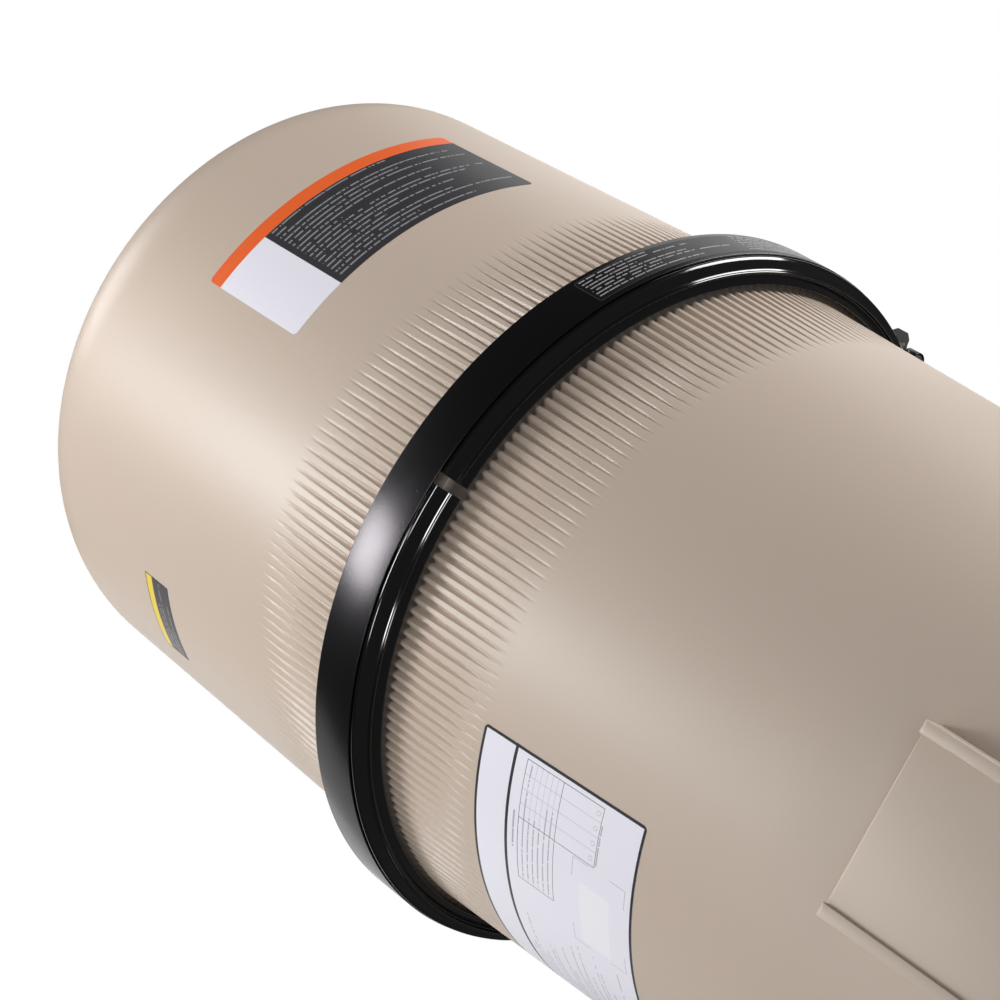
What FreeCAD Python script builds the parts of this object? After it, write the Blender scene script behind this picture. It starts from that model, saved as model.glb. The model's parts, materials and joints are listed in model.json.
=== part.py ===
# Pool cartridge filter: a two-piece fluted tank closed by a V-clamp, four pleated elements
# between two manifolds, a relief valve and pressure gauge on the dome, union ports and a drain.
# Millimetres, +Z up. The origin is on the floor, in the middle of the foot. A heading is an
# angle from the front (-Y) towards +X, seen from above: 0 is the front, 90 is the right side.
import FreeCAD, Part
import Sketcher
import math
import os

DRIVING_SIZES = (
    # The tank's two shells
    ("tank_room", 17.852, "elements to the shells' inside at the joint"),
    ("wall", 7.0, "moulded wall"),
    ("lid_draft", 0.027, "inward lean of the lid wall, per mm up"),
    ("tank_draft", 0.032, "inward lean of the tank wall, per mm down"),
    ("joint_height", 692.0, "joint of the shells above the floor"),
    ("flange_width", 11.5, "joint flanges beyond the wall"),
    ("flange_rim", 19.3, "straight rim of one flange"),
    ("flange_cone", 8.0, "height of the wedge face below the rim"),
    ("lid_shoulder", 348.5, "start of the lid's shoulder above the joint"),
    ("lid_knuckle", 78.0, "shoulder radius"),
    ("lid_crown", 456.7, "radius of the domed top"),
    ("lid_boss_radius", 42.0, "flat boss on the dome"),
    ("lid_boss_rise", 4.0, "boss above the top of the dome"),
    ("lid_bore", 19.0, "hole through the dome, radius"),
    ("lid_seat", 34.0, "flat under the dome, radius"),
    ("foot_rise", 14.0, "height of the foot bead"),
    ("foot_bead", 4.0, "foot bead beyond the wall"),
    ("floor_height", 18.0, "inside of the floor, in the middle"),
    ("floor_thick", 8.0, "floor"),
    ("floor_crown", 1600.0, "radius of the dished floor"),
    ("floor_knuckle", 18.0, "floor corner radius"),
    ("flute_count", 196.0, "flutes around each shell"),
    ("flute_root", 22.0, "deep end of a flute, from the joint"),
    ("flute_reach", 112.0, "where a flute fades out, from the joint"),
    ("flute_depth", 2.4, "depth at the deep end"),
    ("flute_lift", 0.6, "flute cutter's axis above the wall"),
    ("seal_offset", 2.5, "inside of the joint seal beyond the wall"),
    ("seal_width", 4.4, "joint seal"),
    ("seal_depth", 5.0, "joint seal"),
    # Port pads with their side rails
    ("port_heading", 50.2, "heading of a port, to either side of the front"),
    ("port_height", 93.0, "port axis above the floor"),
    ("pad_inset", 9.5, "flat of a pad, in from the wall's radius at the joint"),
    ("pad_drop", 394.5, "top edge of a pad below the joint"),
    ("pad_width", 108.0, "flat between the rails"),
    ("pad_round", 4.0, "rounded top edge of a pad"),
    ("rail_width", 8.3, "side rail"),
    ("rail_rise", 3.5, "side rail beyond the flat"),
    ("rail_round", 9.0, "rounded top of a rail"),
    ("port_boss", 50.0, "radius of the thick wall inside a port"),
    ("nut_seat_depth", 23.5, "inside flat of a port behind its pad's flat"),
    # Drain, anchor lugs and manifold seats
    ("drain_height", 62.0, "drain axis above the floor"),
    ("drain_inset", 6.0, "face of the drain boss, in from the wall's radius at the joint"),
    ("drain_boss", 30.0, "radius of the drain boss"),
    ("drain_bore", 20.0, "radius of the drain hole"),
    ("lug_inset", 4.0, "anchor holes, in from the wall's radius at the joint"),
    ("lug_radius", 14.0, "anchor lug"),
    ("lug_height", 12.0, "anchor lug"),
    ("anchor_bore", 5.5, "radius of an anchor hole"),
    ("seat_circle", 80.0, "manifold seats, from the tank's axis"),
    ("seat_radius", 16.0, "manifold seat"),
    ("seat_height", 32.0, "manifold seats above the floor"),
    # V-clamp
    ("clamp_heading", 176.2, "heading of the clamp bolt"),
    ("band_reach", 9.5, "outside of the tension band beyond the flange"),
    ("band_thick", 1.5, "tension band"),
    ("band_inset", 1.6, "edge of the band inside the flange's rim"),
    ("band_gap", 10.5, "half of the angle between the band's ends"),
    ("retainer_thick", 2.0, "V-retainer sheet"),
    ("retainer_gap", 1.84, "angle between neighbouring retainers"),
    ("lip_rise", 1.7, "outside of the retainer's lip beyond the flange"),
    ("ridge_inset", 2.8, "inner ridge inside the flange's rim"),
    ("ridge_rise", 10.7, "inner ridge beyond the flange's rim, along the axis"),
    ("valley_reach", 1.9, "valley between the ridges outside the flange"),
    ("valley_rise", 2.9, "valley beyond the flange's rim, along the axis"),
    ("ridge_reach", 8.9, "outer ridge outside the flange"),
    ("edge_rise", 1.0, "outer ridge beyond the flange's rim, along the axis"),
    ("trunnion_radius", 7.0, "cross pin in a band loop"),
    ("trunnion_half", 17.0, "half of a cross pin's length"),
    ("trunnion_angle", 6.4, "cross pin, from the middle of the gap"),
    ("bolt_radius", 5.0, "clamp bolt"),
    ("bolt_window", 7.6, "half of the slot for the bolt in a loop"),
    ("spring_radius", 7.4, "outside of the die spring"),
    ("spring_wire", 1.7, "spring wire, square"),
    ("spring_length", 26.0, "spring between its washers"),
    ("spring_turns", 5.0, "turns of the spring"),
    ("washer_thick", 1.6, "clamp washer"),
    ("nut_flats", 17.0, "clamp nut across flats"),
    ("nut_height", 11.0, "clamp nut"),
    # Relief valve and gauge on the dome
    ("neck_radius", 18.5, "threaded neck of the adapter"),
    ("neck_bore", 11.0, "waterway of the adapter"),
    ("adapter_flange", 31.0, "adapter flange under the dome"),
    ("adapter_flange_thick", 5.0, "adapter flange"),
    ("adapter_gasket", 2.5, "gasket under the dome"),
    ("adapter_nut_flats", 60.0, "adapter nut across flats"),
    ("adapter_nut_height", 10.0, "adapter nut"),
    ("valve_radius", 34.0, "foot of the relief valve"),
    ("valve_waist", 29.0, "relief valve inside its knob"),
    ("valve_height", 32.0, "relief valve"),
    ("knob_radius", 36.5, "relief knob"),
    ("knob_height", 16.0, "relief knob"),
    ("knob_wing", 52.0, "tip of a knob wing"),
    ("knob_wing_thick", 7.0, "knob wing"),
    ("poppet_radius", 17.0, "relief poppet"),
    ("poppet_lift", 3.0, "travel of the poppet"),
    ("stem_radius", 6.5, "gauge stem"),
    ("stem_flats", 14.0, "gauge stem across flats"),
    ("stem_hex", 9.0, "height of the stem's hexagon"),
    ("gauge_radius", 31.5, "gauge case"),
    ("gauge_depth", 24.0, "gauge case"),
    ("gauge_shell", 2.0, "wall of the gauge case"),
    ("dial_height", 14.0, "dial, from the back of the case"),
    ("dial_thick", 0.8, "dial"),
    ("arbor_radius", 1.0, "shaft of the needle"),
    ("needle_length", 22.0, "needle"),
    ("needle_thick", 0.5, "needle"),
    ("lens_thick", 2.0, "gauge lens"),
    ("gauge_ring_radius", 35.0, "reference ring around the case"),
    # Elements and manifolds
    ("element_radius", 88.0, "element end cap"),
    ("element_gap", 1.2, "element cap to the tank's middle planes"),
    ("element_rise", 218.0, "top of the elements above the joint"),
    ("element_cap", 12.0, "end cap"),
    ("cap_overhang", 3.0, "end cap beyond the pleats"),
    ("core_wall", 6.7, "element core"),
    ("plenum_base", 150.0, "underside of the bottom manifold"),
    ("plenum_height", 40.0, "bottom manifold"),
    ("plenum_wall", 7.0, "bottom manifold's walls"),
    ("lobe_radius", 46.0, "manifold lobe under an element"),
    ("hub_radius", 95.0, "middle of the bottom manifold"),
    ("spigot_radius", 31.0, "spigot into an element"),
    ("spigot_rise", 20.0, "spigot into an element"),
    ("spigot_bore", 25.0, "spigot waterway"),
    ("channel_width", 40.0, "channels inside the bottom manifold"),
    ("downcomer_radius", 38.0, "outlet column under the manifold"),
    ("leg_radius", 11.0, "manifold leg"),
    ("pipe_radius", 30.15, "two-inch pipe, outside"),
    ("pipe_bore", 26.0, "two-inch pipe, inside"),
    ("socket_radius", 30.3, "two-inch socket"),
    ("socket_depth", 22.0, "inside pipe sockets"),
    ("top_plate", 12.0, "top manifold"),
    ("top_hub", 90.0, "middle of the top manifold"),
    ("bleed_radius", 8.0, "air bleed tube"),
    ("bleed_bore", 6.0, "air bleed tube, inside"),
    ("bleed_drop", 62.0, "top of the air bleed tube below the lid's boss"),
    ("strainer_radius", 14.0, "strainer"),
    ("strainer_height", 32.0, "strainer"),
    ("diffuser_length", 74.0, "inlet diffuser"),
    # Unions at the ports
    ("bulkhead_neck", 38.0, "threaded neck of a bulkhead fitting"),
    ("bulkhead_flange", 52.0, "outside flange of a bulkhead fitting"),
    ("bulkhead_flange_thick", 9.0, "outside flange"),
    ("bulkhead_gasket", 3.0, "gasket under the flange"),
    ("bulkhead_nut_radius", 47.0, "lock nut inside the tank"),
    ("bulkhead_nut_height", 13.0, "lock nut inside the tank"),
    ("bulkhead_tail", 6.0, "neck beyond the lock nut"),
    ("collar_radius", 42.0, "union thread of a bulkhead fitting"),
    ("collar_length", 26.0, "union thread"),
    ("union_seal_inner", 31.0, "union seal"),
    ("union_seal_outer", 35.5, "union seal"),
    ("union_seal_depth", 3.0, "union seal"),
    ("tail_shoulder", 41.5, "shoulder of a tailpiece"),
    ("tail_shoulder_thick", 8.0, "shoulder of a tailpiece"),
    ("tail_radius", 35.0, "tailpiece"),
    ("tail_length", 50.0, "tailpiece"),
    ("tail_socket", 30.2, "solvent socket of a tailpiece"),
    ("tail_socket_depth", 38.0, "solvent socket of a tailpiece"),
    ("union_nut_radius", 50.0, "union nut"),
    ("union_nut_lip", 7.7, "lip of a union nut"),
    ("union_nut_back", 2.0, "union nut clear of the flange"),
    # Drain plug
    ("plug_seal", 3.0, "drain seal"),
    ("plug_flange", 27.0, "drain plug flange"),
    ("plug_flange_thick", 6.0, "drain plug flange"),
    ("plug_square", 20.0, "wrench square of the drain plug"),
    ("plug_square_height", 14.0, "wrench square of the drain plug"),
    ("plug_shank", 26.0, "drain plug inside its hole"),
    # Clearances
    ("turning_gap", 0.3, "between pieces that turn or slide"),
    ("fixed_gap", 0.1, "between fixed pieces that slip together"),
    ("bearing_gap", 0.05, "needle shaft in its bearing"),
)


class Size:
    """A length or an angle that carries its number and its spreadsheet formula."""

    def __init__(self, value, formula):
        self.value = float(value)
        self.formula = formula

    def __float__(self):
        return self.value

    def __add__(self, other):
        return Size(self.value + number(other), f"({self.formula} + {formula_of(other)})")

    __radd__ = __add__

    def __sub__(self, other):
        return Size(self.value - number(other), f"({self.formula} - {formula_of(other)})")

    def __rsub__(self, other):
        return Size(number(other) - self.value, f"({formula_of(other)} - {self.formula})")

    def __mul__(self, other):
        return Size(self.value * number(other), f"({self.formula} * {formula_of(other)})")

    __rmul__ = __mul__

    def __truediv__(self, other):
        return Size(self.value / number(other), f"({self.formula} / {formula_of(other)})")

    def __rtruediv__(self, other):
        return Size(number(other) / self.value, f"({formula_of(other)} / {self.formula})")

    def __neg__(self):
        return self * -1.0


def number(value):
    """The plain number of a Size or of a number."""
    return float(value)


def formula_of(value):
    """The formula of a Size, or a number written out."""
    return value.formula if isinstance(value, Size) else f"{float(value):.9f}"


def root(value):
    """Square root of a Size."""
    return Size(math.sqrt(number(value)), f"sqrt({formula_of(value)})")


def sine(angle):
    """Sine of a Size in degrees."""
    return Size(math.sin(math.radians(number(angle))), f"sin({formula_of(angle)})")


def cosine(angle):
    """Cosine of a Size in degrees."""
    return Size(math.cos(math.radians(number(angle))), f"cos({formula_of(angle)})")


class SizeSheet:
    """The spreadsheet of driving sizes, each read as an attribute by its alias."""

    def __init__(self, document, rows):
        self.sheet = document.addObject("Spreadsheet::Sheet", "Sizes")
        self.sizes = {}
        for line, (alias, value, meaning) in enumerate(rows, start=1):
            self.sheet.set(f"A{line}", alias)
            self.sheet.set(f"B{line}", str(value))
            self.sheet.set(f"C{line}", meaning)
            self.sheet.setAlias(f"B{line}", alias)
            self.sizes[alias] = Size(value, f"Sizes.{alias}")
        document.recompute()

    def __getattr__(self, alias):
        return self.sizes[alias]

    def follow(self):
        """Sizes that follow from the sheet's, so that pieces keep together when one changes."""
        follow = self.sizes
        follow["element_pitch"] = self.element_radius + self.element_gap
        follow["media_radius"] = self.element_radius - self.cap_overhang
        follow["core_bore"] = self.spigot_radius + self.turning_gap
        follow["core_radius"] = self.core_bore + self.core_wall
        follow["wall_radius"] = (self.element_pitch * math.sqrt(2.0) + self.element_radius
                                 + self.wall + self.tank_room)
        follow["flange_radius"] = self.wall_radius + self.flange_width
        follow["seal_radius"] = self.wall_radius + self.seal_offset
        follow["pad_face"] = self.wall_radius - self.pad_inset
        follow["pad_top"] = self.joint_height - self.pad_drop
        follow["nut_seat"] = self.pad_face - self.nut_seat_depth
        follow["drain_face"] = self.wall_radius - self.drain_inset
        follow["lug_circle"] = self.wall_radius - self.lug_inset
        follow["band_radius"] = self.flange_radius + self.band_reach
        follow["band_half"] = self.flange_rim - self.band_inset
        follow["retainer_lip"] = self.flange_rim + self.flange_cone + self.lip_rise
        follow["ridge_inner"] = self.flange_radius - self.ridge_inset
        follow["ridge_drop"] = self.flange_rim + self.ridge_rise
        follow["valley_radius"] = self.flange_radius + self.valley_reach
        follow["valley_drop"] = self.flange_rim + self.valley_rise
        follow["ridge_outer"] = self.flange_radius + self.ridge_reach
        follow["ridge_edge"] = self.flange_rim + self.edge_rise
        follow["element_length"] = (self.joint_height + self.element_rise - self.plenum_base
                                    - self.plenum_height)


class Round:
    """An arc between two corners of an outline, with its centre left or right of the way."""

    def __init__(self, radius, side):
        self.radius = radius
        self.side = side


class Disc:
    """A full circle in a sketch."""

    def __init__(self, x, y, radius):
        self.x = x
        self.y = y
        self.radius = radius


doc = FreeCAD.newDocument("PoolCartridgeFilter")
S = SizeSheet(doc, DRIVING_SIZES)
S.follow()
X_DIRECTION = FreeCAD.Vector(1, 0, 0)
Y_DIRECTION = FreeCAD.Vector(0, 1, 0)
Z_DIRECTION = FreeCAD.Vector(0, 0, 1)
LEFT = 1
RIGHT = -1
UPRIGHT = "XZ_Plane"
LEVEL = "XY_Plane"


def new_body(name):
    """A PartDesign body whose Label is the name of its file."""
    body = doc.addObject("PartDesign::Body", name)
    body.Label = name
    return body


def origin_feature(body, role):
    """One of the body's own origin planes or axes."""
    for feature in body.Origin.OriginFeatures:
        if feature.Role == role:
            return feature
    raise ValueError(role)


def tie(sketch, kind, element, corner, value):
    """Hold one coordinate of a corner: on the axis, by a formula or by a number."""
    axis = -2 if kind == "DistanceX" else -1
    if not isinstance(value, Size) and number(value) == 0.0:
        sketch.addConstraint(Sketcher.Constraint("PointOnObject", element, corner, axis))
        return
    index = sketch.addConstraint(Sketcher.Constraint(kind, element, corner, number(value)))
    if isinstance(value, Size):
        sketch.setExpression(f"Constraints[{index}]", value.formula)


def tie_radius(sketch, element, radius):
    """Hold the radius of a circle or an arc."""
    index = sketch.addConstraint(Sketcher.Constraint("Radius", element, number(radius)))
    if isinstance(radius, Size):
        sketch.setExpression(f"Constraints[{index}]", radius.formula)


def arc_between(start, end, radius, side):
    """The shorter arc between two points; its own direction is always anticlockwise."""
    chord = end - start
    half = chord.Length / 2.0
    across = FreeCAD.Vector(-chord.y, chord.x, 0).normalize() * side
    centre = (start + end) * 0.5 + across * math.sqrt(max(radius ** 2 - half ** 2, 0.0))
    first = math.atan2(start.y - centre.y, start.x - centre.x)
    last = math.atan2(end.y - centre.y, end.x - centre.x)
    if side == RIGHT:
        first, last = last, first
    if last < first:
        last += 2.0 * math.pi
    return Part.ArcOfCircle(Part.Circle(centre, Z_DIRECTION, radius), first, last)


def draw_outline(sketch, outline):
    """One closed outline of corners, with a Round where an edge is an arc."""
    corners = []
    rounds = {}
    for item in outline:
        if isinstance(item, Round):
            rounds[len(corners) - 1] = item
        else:
            corners.append(item)
    points = [FreeCAD.Vector(number(x), number(y), 0) for x, y in corners]
    ends = []
    for index, start in enumerate(points):
        end = points[(index + 1) % len(points)]
        bend = rounds.get(index)
        if bend is None:
            element = sketch.addGeometry(Part.LineSegment(start, end), False)
            ends.append((element, 1, 2))
        else:
            arc = arc_between(start, end, number(bend.radius), bend.side)
            element = sketch.addGeometry(arc, False)
            ends.append((element, 1, 2) if bend.side == LEFT else (element, 2, 1))
    for index, (element, first, last) in enumerate(ends):
        after, after_first, _ = ends[(index + 1) % len(ends)]
        sketch.addConstraint(Sketcher.Constraint("Coincident", element, last, after, after_first))
        tie(sketch, "DistanceX", element, first, corners[index][0])
        tie(sketch, "DistanceY", element, first, corners[index][1])
        if index in rounds:
            tie_radius(sketch, element, rounds[index].radius)


def draw_disc(sketch, disc):
    """One circle, held by its middle and its radius."""
    middle = FreeCAD.Vector(number(disc.x), number(disc.y), 0)
    element = sketch.addGeometry(Part.Circle(middle, Z_DIRECTION, number(disc.radius)), False)
    tie(sketch, "DistanceX", element, 3, disc.x)
    tie(sketch, "DistanceY", element, 3, disc.y)
    tie_radius(sketch, element, disc.radius)


def add_sketch(body, name, loops, plane=UPRIGHT, turn=0.0, shift=0.0):
    """A sketch on an origin plane, turned about the plane's own vertical and moved outwards."""
    sketch = body.newObject("Sketcher::SketchObject", f"{name}_sketch")
    sketch.AttachmentSupport = [(origin_feature(body, plane), "")]
    sketch.MapMode = "FlatFace"
    swing = FreeCAD.Rotation(Y_DIRECTION, number(turn))
    moved = (shift * sine(turn), 0.0, shift * cosine(turn))
    sketch.AttachmentOffset = FreeCAD.Placement(FreeCAD.Vector(*map(number, moved)), swing)
    if isinstance(shift, Size):
        sketch.setExpression("AttachmentOffset.Base.x", moved[0].formula)
        sketch.setExpression("AttachmentOffset.Base.z", moved[2].formula)
    for loop in loops:
        if isinstance(loop, Disc):
            draw_disc(sketch, loop)
        else:
            draw_outline(sketch, loop)
    return sketch


def set_length(feature, key, value):
    """Set one property of a feature, by formula where it has one."""
    setattr(feature, key, number(value))
    if isinstance(value, Size):
        feature.setExpression(key, value.formula)


def spin(body, name, sketch, angle=360.0, cut=False):
    """Turn a sketch about its vertical axis; a part turn reaches equally to both sides."""
    kind = "PartDesign::Groove" if cut else "PartDesign::Revolution"
    feature = body.newObject(kind, name)
    feature.Profile = sketch
    feature.ReferenceAxis = (sketch, ["V_Axis"])
    set_length(feature, "Angle", angle)
    if isinstance(angle, Size):
        feature.Midplane = True
    body.Tip = feature
    return feature


def extrude(body, name, sketch, length, both_ways=False, backwards=False, cut=False):
    """Push a sketch along its normal, or cut with it against its normal."""
    feature = body.newObject("PartDesign::Pocket" if cut else "PartDesign::Pad", name)
    feature.Profile = sketch
    set_length(feature, "Length", length)
    feature.SideType = "Symmetric" if both_ways else "One side"
    feature.Reversed = backwards
    body.Tip = feature
    return feature


def around(body, name, feature, count):
    """Repeat a feature around the body's Z axis."""
    pattern = body.newObject("PartDesign::PolarPattern", name)
    pattern.Originals = [feature]
    pattern.Axis = (origin_feature(body, "Z_Axis"), [""])
    pattern.Angle = 360.0
    pattern.Occurrences = round(number(count))
    if isinstance(count, Size):
        pattern.setExpression("Occurrences", count.formula)
    body.Tip = pattern
    return pattern


def turned(name, outline, angle=360.0):
    """A body made by turning one outline of (radius, height) corners about its Z axis."""
    body = new_body(name)
    spin(body, f"{name}_turned", add_sketch(body, name, [outline]), angle)
    return body


def ring(name, inner, outer, bottom, top):
    """A plain ring: a washer, seal or tube."""
    corners = [(inner, bottom), (outer, bottom), (outer, top), (inner, top)]
    return turned(name, corners)


def hexagon(flats):
    """Corners of a hexagon, from its width across flats."""
    reach = flats / math.sqrt(3.0)
    turns = [math.radians(60.0 * step) for step in range(6)]
    return [(reach * round(math.cos(a), 12), reach * round(math.sin(a), 12)) for a in turns]


def heading_frame(heading, radius=0.0, height=0.0):
    """Placement that points local -Y along a heading, on the tank's axis or out from it."""
    angle = math.radians(number(heading))
    spot = FreeCAD.Vector(math.sin(angle), -math.cos(angle), 0) * number(radius)
    spot.z = number(height)
    return FreeCAD.Placement(spot, FreeCAD.Rotation(Z_DIRECTION, number(heading)))


def outward_frame(heading, radius, height):
    """Placement that points local +Z outwards along a heading, for fittings in the wall."""
    tip_over = FreeCAD.Placement(FreeCAD.Vector(), FreeCAD.Rotation(X_DIRECTION, 90.0))
    return heading_frame(heading, radius, height).multiply(tip_over)


def tank_wall(height):
    """Outside radius of the lower tank at a height above the floor."""
    return S.wall_radius - S.tank_draft * (S.joint_height - height)


def lid_wall(rise):
    """Outside radius of the lid at a height above the joint."""
    return S.wall_radius - S.lid_draft * rise


def flute_cutter(body, root_radius, root_height, lean, upwards):
    """A square pyramid laid on edge along the wall, so that its groove fades to nothing."""
    cutter = body.newObject("PartDesign::SubtractiveWedge", "flute")
    diagonal = S.flute_depth + S.flute_lift
    half_side = diagonal / math.sqrt(2.0)
    run = (S.flute_reach - S.flute_root) / (1.0 - S.flute_lift / diagonal)
    for key, value in (("Xmin", -half_side), ("Xmax", half_side), ("Zmin", -half_side),
                       ("Zmax", half_side), ("Ymin", 0.0), ("Ymax", run), ("X2min", 0.0),
                       ("X2max", 0.0), ("Z2min", 0.0), ("Z2max", 0.0)):
        set_length(cutter, key, value)
    stand = FreeCAD.Rotation(X_DIRECTION, 90.0 if upwards else -90.0)
    on_edge = stand.multiply(FreeCAD.Rotation(Y_DIRECTION, 45.0))
    tilt = FreeCAD.Rotation(Y_DIRECTION, math.degrees(math.atan(number(lean))))
    axis_radius = root_radius + S.flute_lift
    spot = FreeCAD.Vector(number(axis_radius), 0, number(root_height))
    cutter.AttachmentOffset = FreeCAD.Placement(spot, tilt.multiply(on_edge))
    cutter.Placement = FreeCAD.Placement(spot, tilt.multiply(on_edge))
    around(body, "flutes", cutter, S.flute_count)


def tank_outer_outline():
    """Solid form of the lower tank: foot bead, leaning wall, wedge face and flange rim."""
    rim_low = S.joint_height - S.flange_rim
    cone_low = rim_low - S.flange_cone
    return [
        (0.0, 0.0),
        (tank_wall(0.0) + S.foot_bead, 0.0),
        (tank_wall(0.0) + S.foot_bead, S.foot_rise - S.foot_bead),
        (tank_wall(S.foot_rise), S.foot_rise),
        (tank_wall(cone_low), cone_low),
        (S.flange_radius, rim_low),
        (S.flange_radius, S.joint_height),
        (0.0, S.joint_height),
    ]


def floor_curve():
    """Centre height of the dished floor and the corner where its knuckle meets the wall."""
    inside = tank_wall(S.floor_height) - S.wall
    middle = S.floor_height + S.floor_crown
    knuckle_middle = inside - S.floor_knuckle
    reach = S.floor_crown - S.floor_knuckle
    knuckle_height = middle - root(reach * reach - knuckle_middle * knuckle_middle)
    return inside, middle, knuckle_middle, knuckle_height


def tank_inside_outline():
    """Inside of the lower tank: dished floor, knuckle and wall, open at the joint."""
    inside, middle, knuckle_middle, knuckle_height = floor_curve()
    stretch = S.floor_crown / (S.floor_crown - S.floor_knuckle)
    return [
        (0.0, S.floor_height),
        Round(S.floor_crown, LEFT),
        (knuckle_middle * stretch, middle - (middle - knuckle_height) * stretch),
        Round(S.floor_knuckle, LEFT),
        (inside, knuckle_height),
        (S.wall_radius - S.wall, S.joint_height),
        (0.0, S.joint_height),
    ]


def under_floor_outline():
    """Hollow under the dished floor, inside the foot."""
    inside, middle, _, _ = floor_curve()
    under = S.floor_crown + S.floor_thick
    edge = middle - root(under * under - inside * inside)
    return [
        (0.0, 0.0),
        (inside, 0.0),
        (inside, edge),
        Round(under, RIGHT),
        (0.0, S.floor_height - S.floor_thick),
    ]


def side_slab(body, name, heading, face, top, edge_round, width, shift):
    """A slab with a rounded top edge that stands out of the wall along a heading."""
    inner = S.nut_seat - S.port_boss
    outline = [
        (inner, 0.0),
        (face, 0.0),
        (face, top - edge_round),
        Round(edge_round, LEFT),
        (face - edge_round, top),
        (inner, top),
    ]
    sketch = add_sketch(body, name, [outline], turn=heading - 90.0, shift=shift)
    return extrude(body, name, sketch, width, both_ways=True)


def make_port_pads(body):
    """The two flat pads with a rail along each side."""
    rail_shift = (S.pad_width + S.rail_width) / 2.0
    for side, sign in (("right", 1.0), ("left", -1.0)):
        heading = S.port_heading * sign
        side_slab(body, f"{side}_pad", heading, S.pad_face, S.pad_top, S.pad_round,
                  S.pad_width + S.rail_width, Size(0.0, "0"))
        for edge, way in (("front", -1.0), ("back", 1.0)):
            side_slab(body, f"{side}_{edge}_rail", heading, S.pad_face + S.rail_rise, S.pad_top,
                      S.rail_round, S.rail_width, rail_shift * way)


def make_port_holes(body):
    """Thick wall and bore behind each pad."""
    for side, sign in (("right", 1.0), ("left", -1.0)):
        heading = S.port_heading * sign
        middle = Disc(0.0, S.port_height, S.port_boss)
        boss = add_sketch(body, f"{side}_boss", [middle], turn=heading, shift=S.nut_seat)
        extrude(body, f"{side}_boss", boss, S.pad_face - S.nut_seat - S.pad_round)
        hole = Disc(0.0, S.port_height, S.bulkhead_neck + S.turning_gap)
        bore = add_sketch(body, f"{side}_bore", [hole], turn=heading, shift=S.pad_face)
        extrude(body, f"{side}_bore", bore, (S.pad_face - S.nut_seat) * 1.5, cut=True)


def make_tank_bottom():
    """Lower tank: fluted below the joint, pads for the ports, drain boss, foot and lugs."""
    body = new_body("tank_bottom")
    spin(body, "form", add_sketch(body, "form", [tank_outer_outline()]))
    make_port_pads(body)
    drain = Disc(0.0, S.drain_height, S.drain_boss)
    drain_sketch = add_sketch(body, "drain_boss", [drain], shift=S.nut_seat - S.drain_boss)
    extrude(body, "drain_boss", drain_sketch, S.drain_face - S.nut_seat + S.drain_boss)
    lug_outline = [
        (tank_wall(0.0) - S.wall / 2.0, -S.lug_radius),
        (S.lug_circle, -S.lug_radius),
        Round(S.lug_radius, LEFT),
        (S.lug_circle + S.lug_radius, 0.0),
        Round(S.lug_radius, LEFT),
        (S.lug_circle, S.lug_radius),
        (tank_wall(0.0) - S.wall / 2.0, S.lug_radius),
    ]
    lug = extrude(body, "lug", add_sketch(body, "lug", [lug_outline], LEVEL), S.lug_height)
    around(body, "lugs", lug, 4.0)
    spin(body, "inside", add_sketch(body, "inside", [tank_inside_outline()]), cut=True)
    spin(body, "under_floor", add_sketch(body, "under_floor", [under_floor_outline()]), cut=True)
    make_port_holes(body)
    drain_hole = Disc(0.0, S.drain_height, S.drain_bore)
    hole_sketch = add_sketch(body, "drain_hole", [drain_hole], shift=S.drain_face)
    extrude(body, "drain_hole", hole_sketch, S.drain_boss, cut=True)
    seat = Disc(S.seat_circle, 0.0, S.seat_radius)
    seat_sketch = add_sketch(body, "seat", [seat], LEVEL, shift=S.floor_height - S.floor_thick / 2)
    seat_pad = extrude(body, "seat", seat_sketch, S.seat_height - S.floor_height + S.floor_thick / 2)
    around(body, "seats", seat_pad, 4.0)
    anchor = Disc(S.lug_circle, 0.0, S.anchor_bore)
    anchor_sketch = add_sketch(body, "anchor", [anchor], LEVEL)
    anchor_hole = extrude(body, "anchor", anchor_sketch, S.lug_height, backwards=True, cut=True)
    around(body, "anchors", anchor_hole, 4.0)
    groove = [
        (S.seal_radius - S.fixed_gap, S.joint_height - S.seal_depth),
        (S.seal_radius + S.seal_width + S.fixed_gap, S.joint_height - S.seal_depth),
        (S.seal_radius + S.seal_width + S.fixed_gap, S.joint_height),
        (S.seal_radius - S.fixed_gap, S.joint_height),
    ]
    spin(body, "seal_groove", add_sketch(body, "seal_groove", [groove]), cut=True)
    root_height = S.joint_height - S.flute_root
    flute_cutter(body, tank_wall(root_height), root_height, S.tank_draft, upwards=False)
    return body


def lid_dome():
    """Middles of the shoulder and crown arcs, and how the shoulder start leans."""
    slant = root(1.0 + S.lid_draft * S.lid_draft)
    across = 1.0 / slant
    along = S.lid_draft / slant
    shoulder_middle = lid_wall(S.lid_shoulder) - S.lid_knuckle * across
    shoulder_rise = S.lid_shoulder - S.lid_knuckle * along
    reach = S.lid_crown - S.lid_knuckle
    crown_rise = shoulder_rise - root(reach * reach - shoulder_middle * shoulder_middle)
    return across, along, shoulder_middle, shoulder_rise, crown_rise


def crown_height(inset, radius):
    """Height above the floor of the dome, or of its inside at a wall's inset, at a radius."""
    crown_rise = lid_dome()[4]
    crown = S.lid_crown - inset
    return S.joint_height + crown_rise + root(crown * crown - radius * radius)


def boss_top():
    """Flat top of the dome's boss."""
    return S.joint_height + lid_dome()[4] + S.lid_crown + S.lid_boss_rise


def bleed_top():
    """Height of the top of the air bleed tube."""
    return boss_top() - S.bleed_drop


def lid_seat_height():
    """Flat under the dome that the adapter's gasket seals on."""
    return crown_height(S.wall, S.lid_seat)


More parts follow.
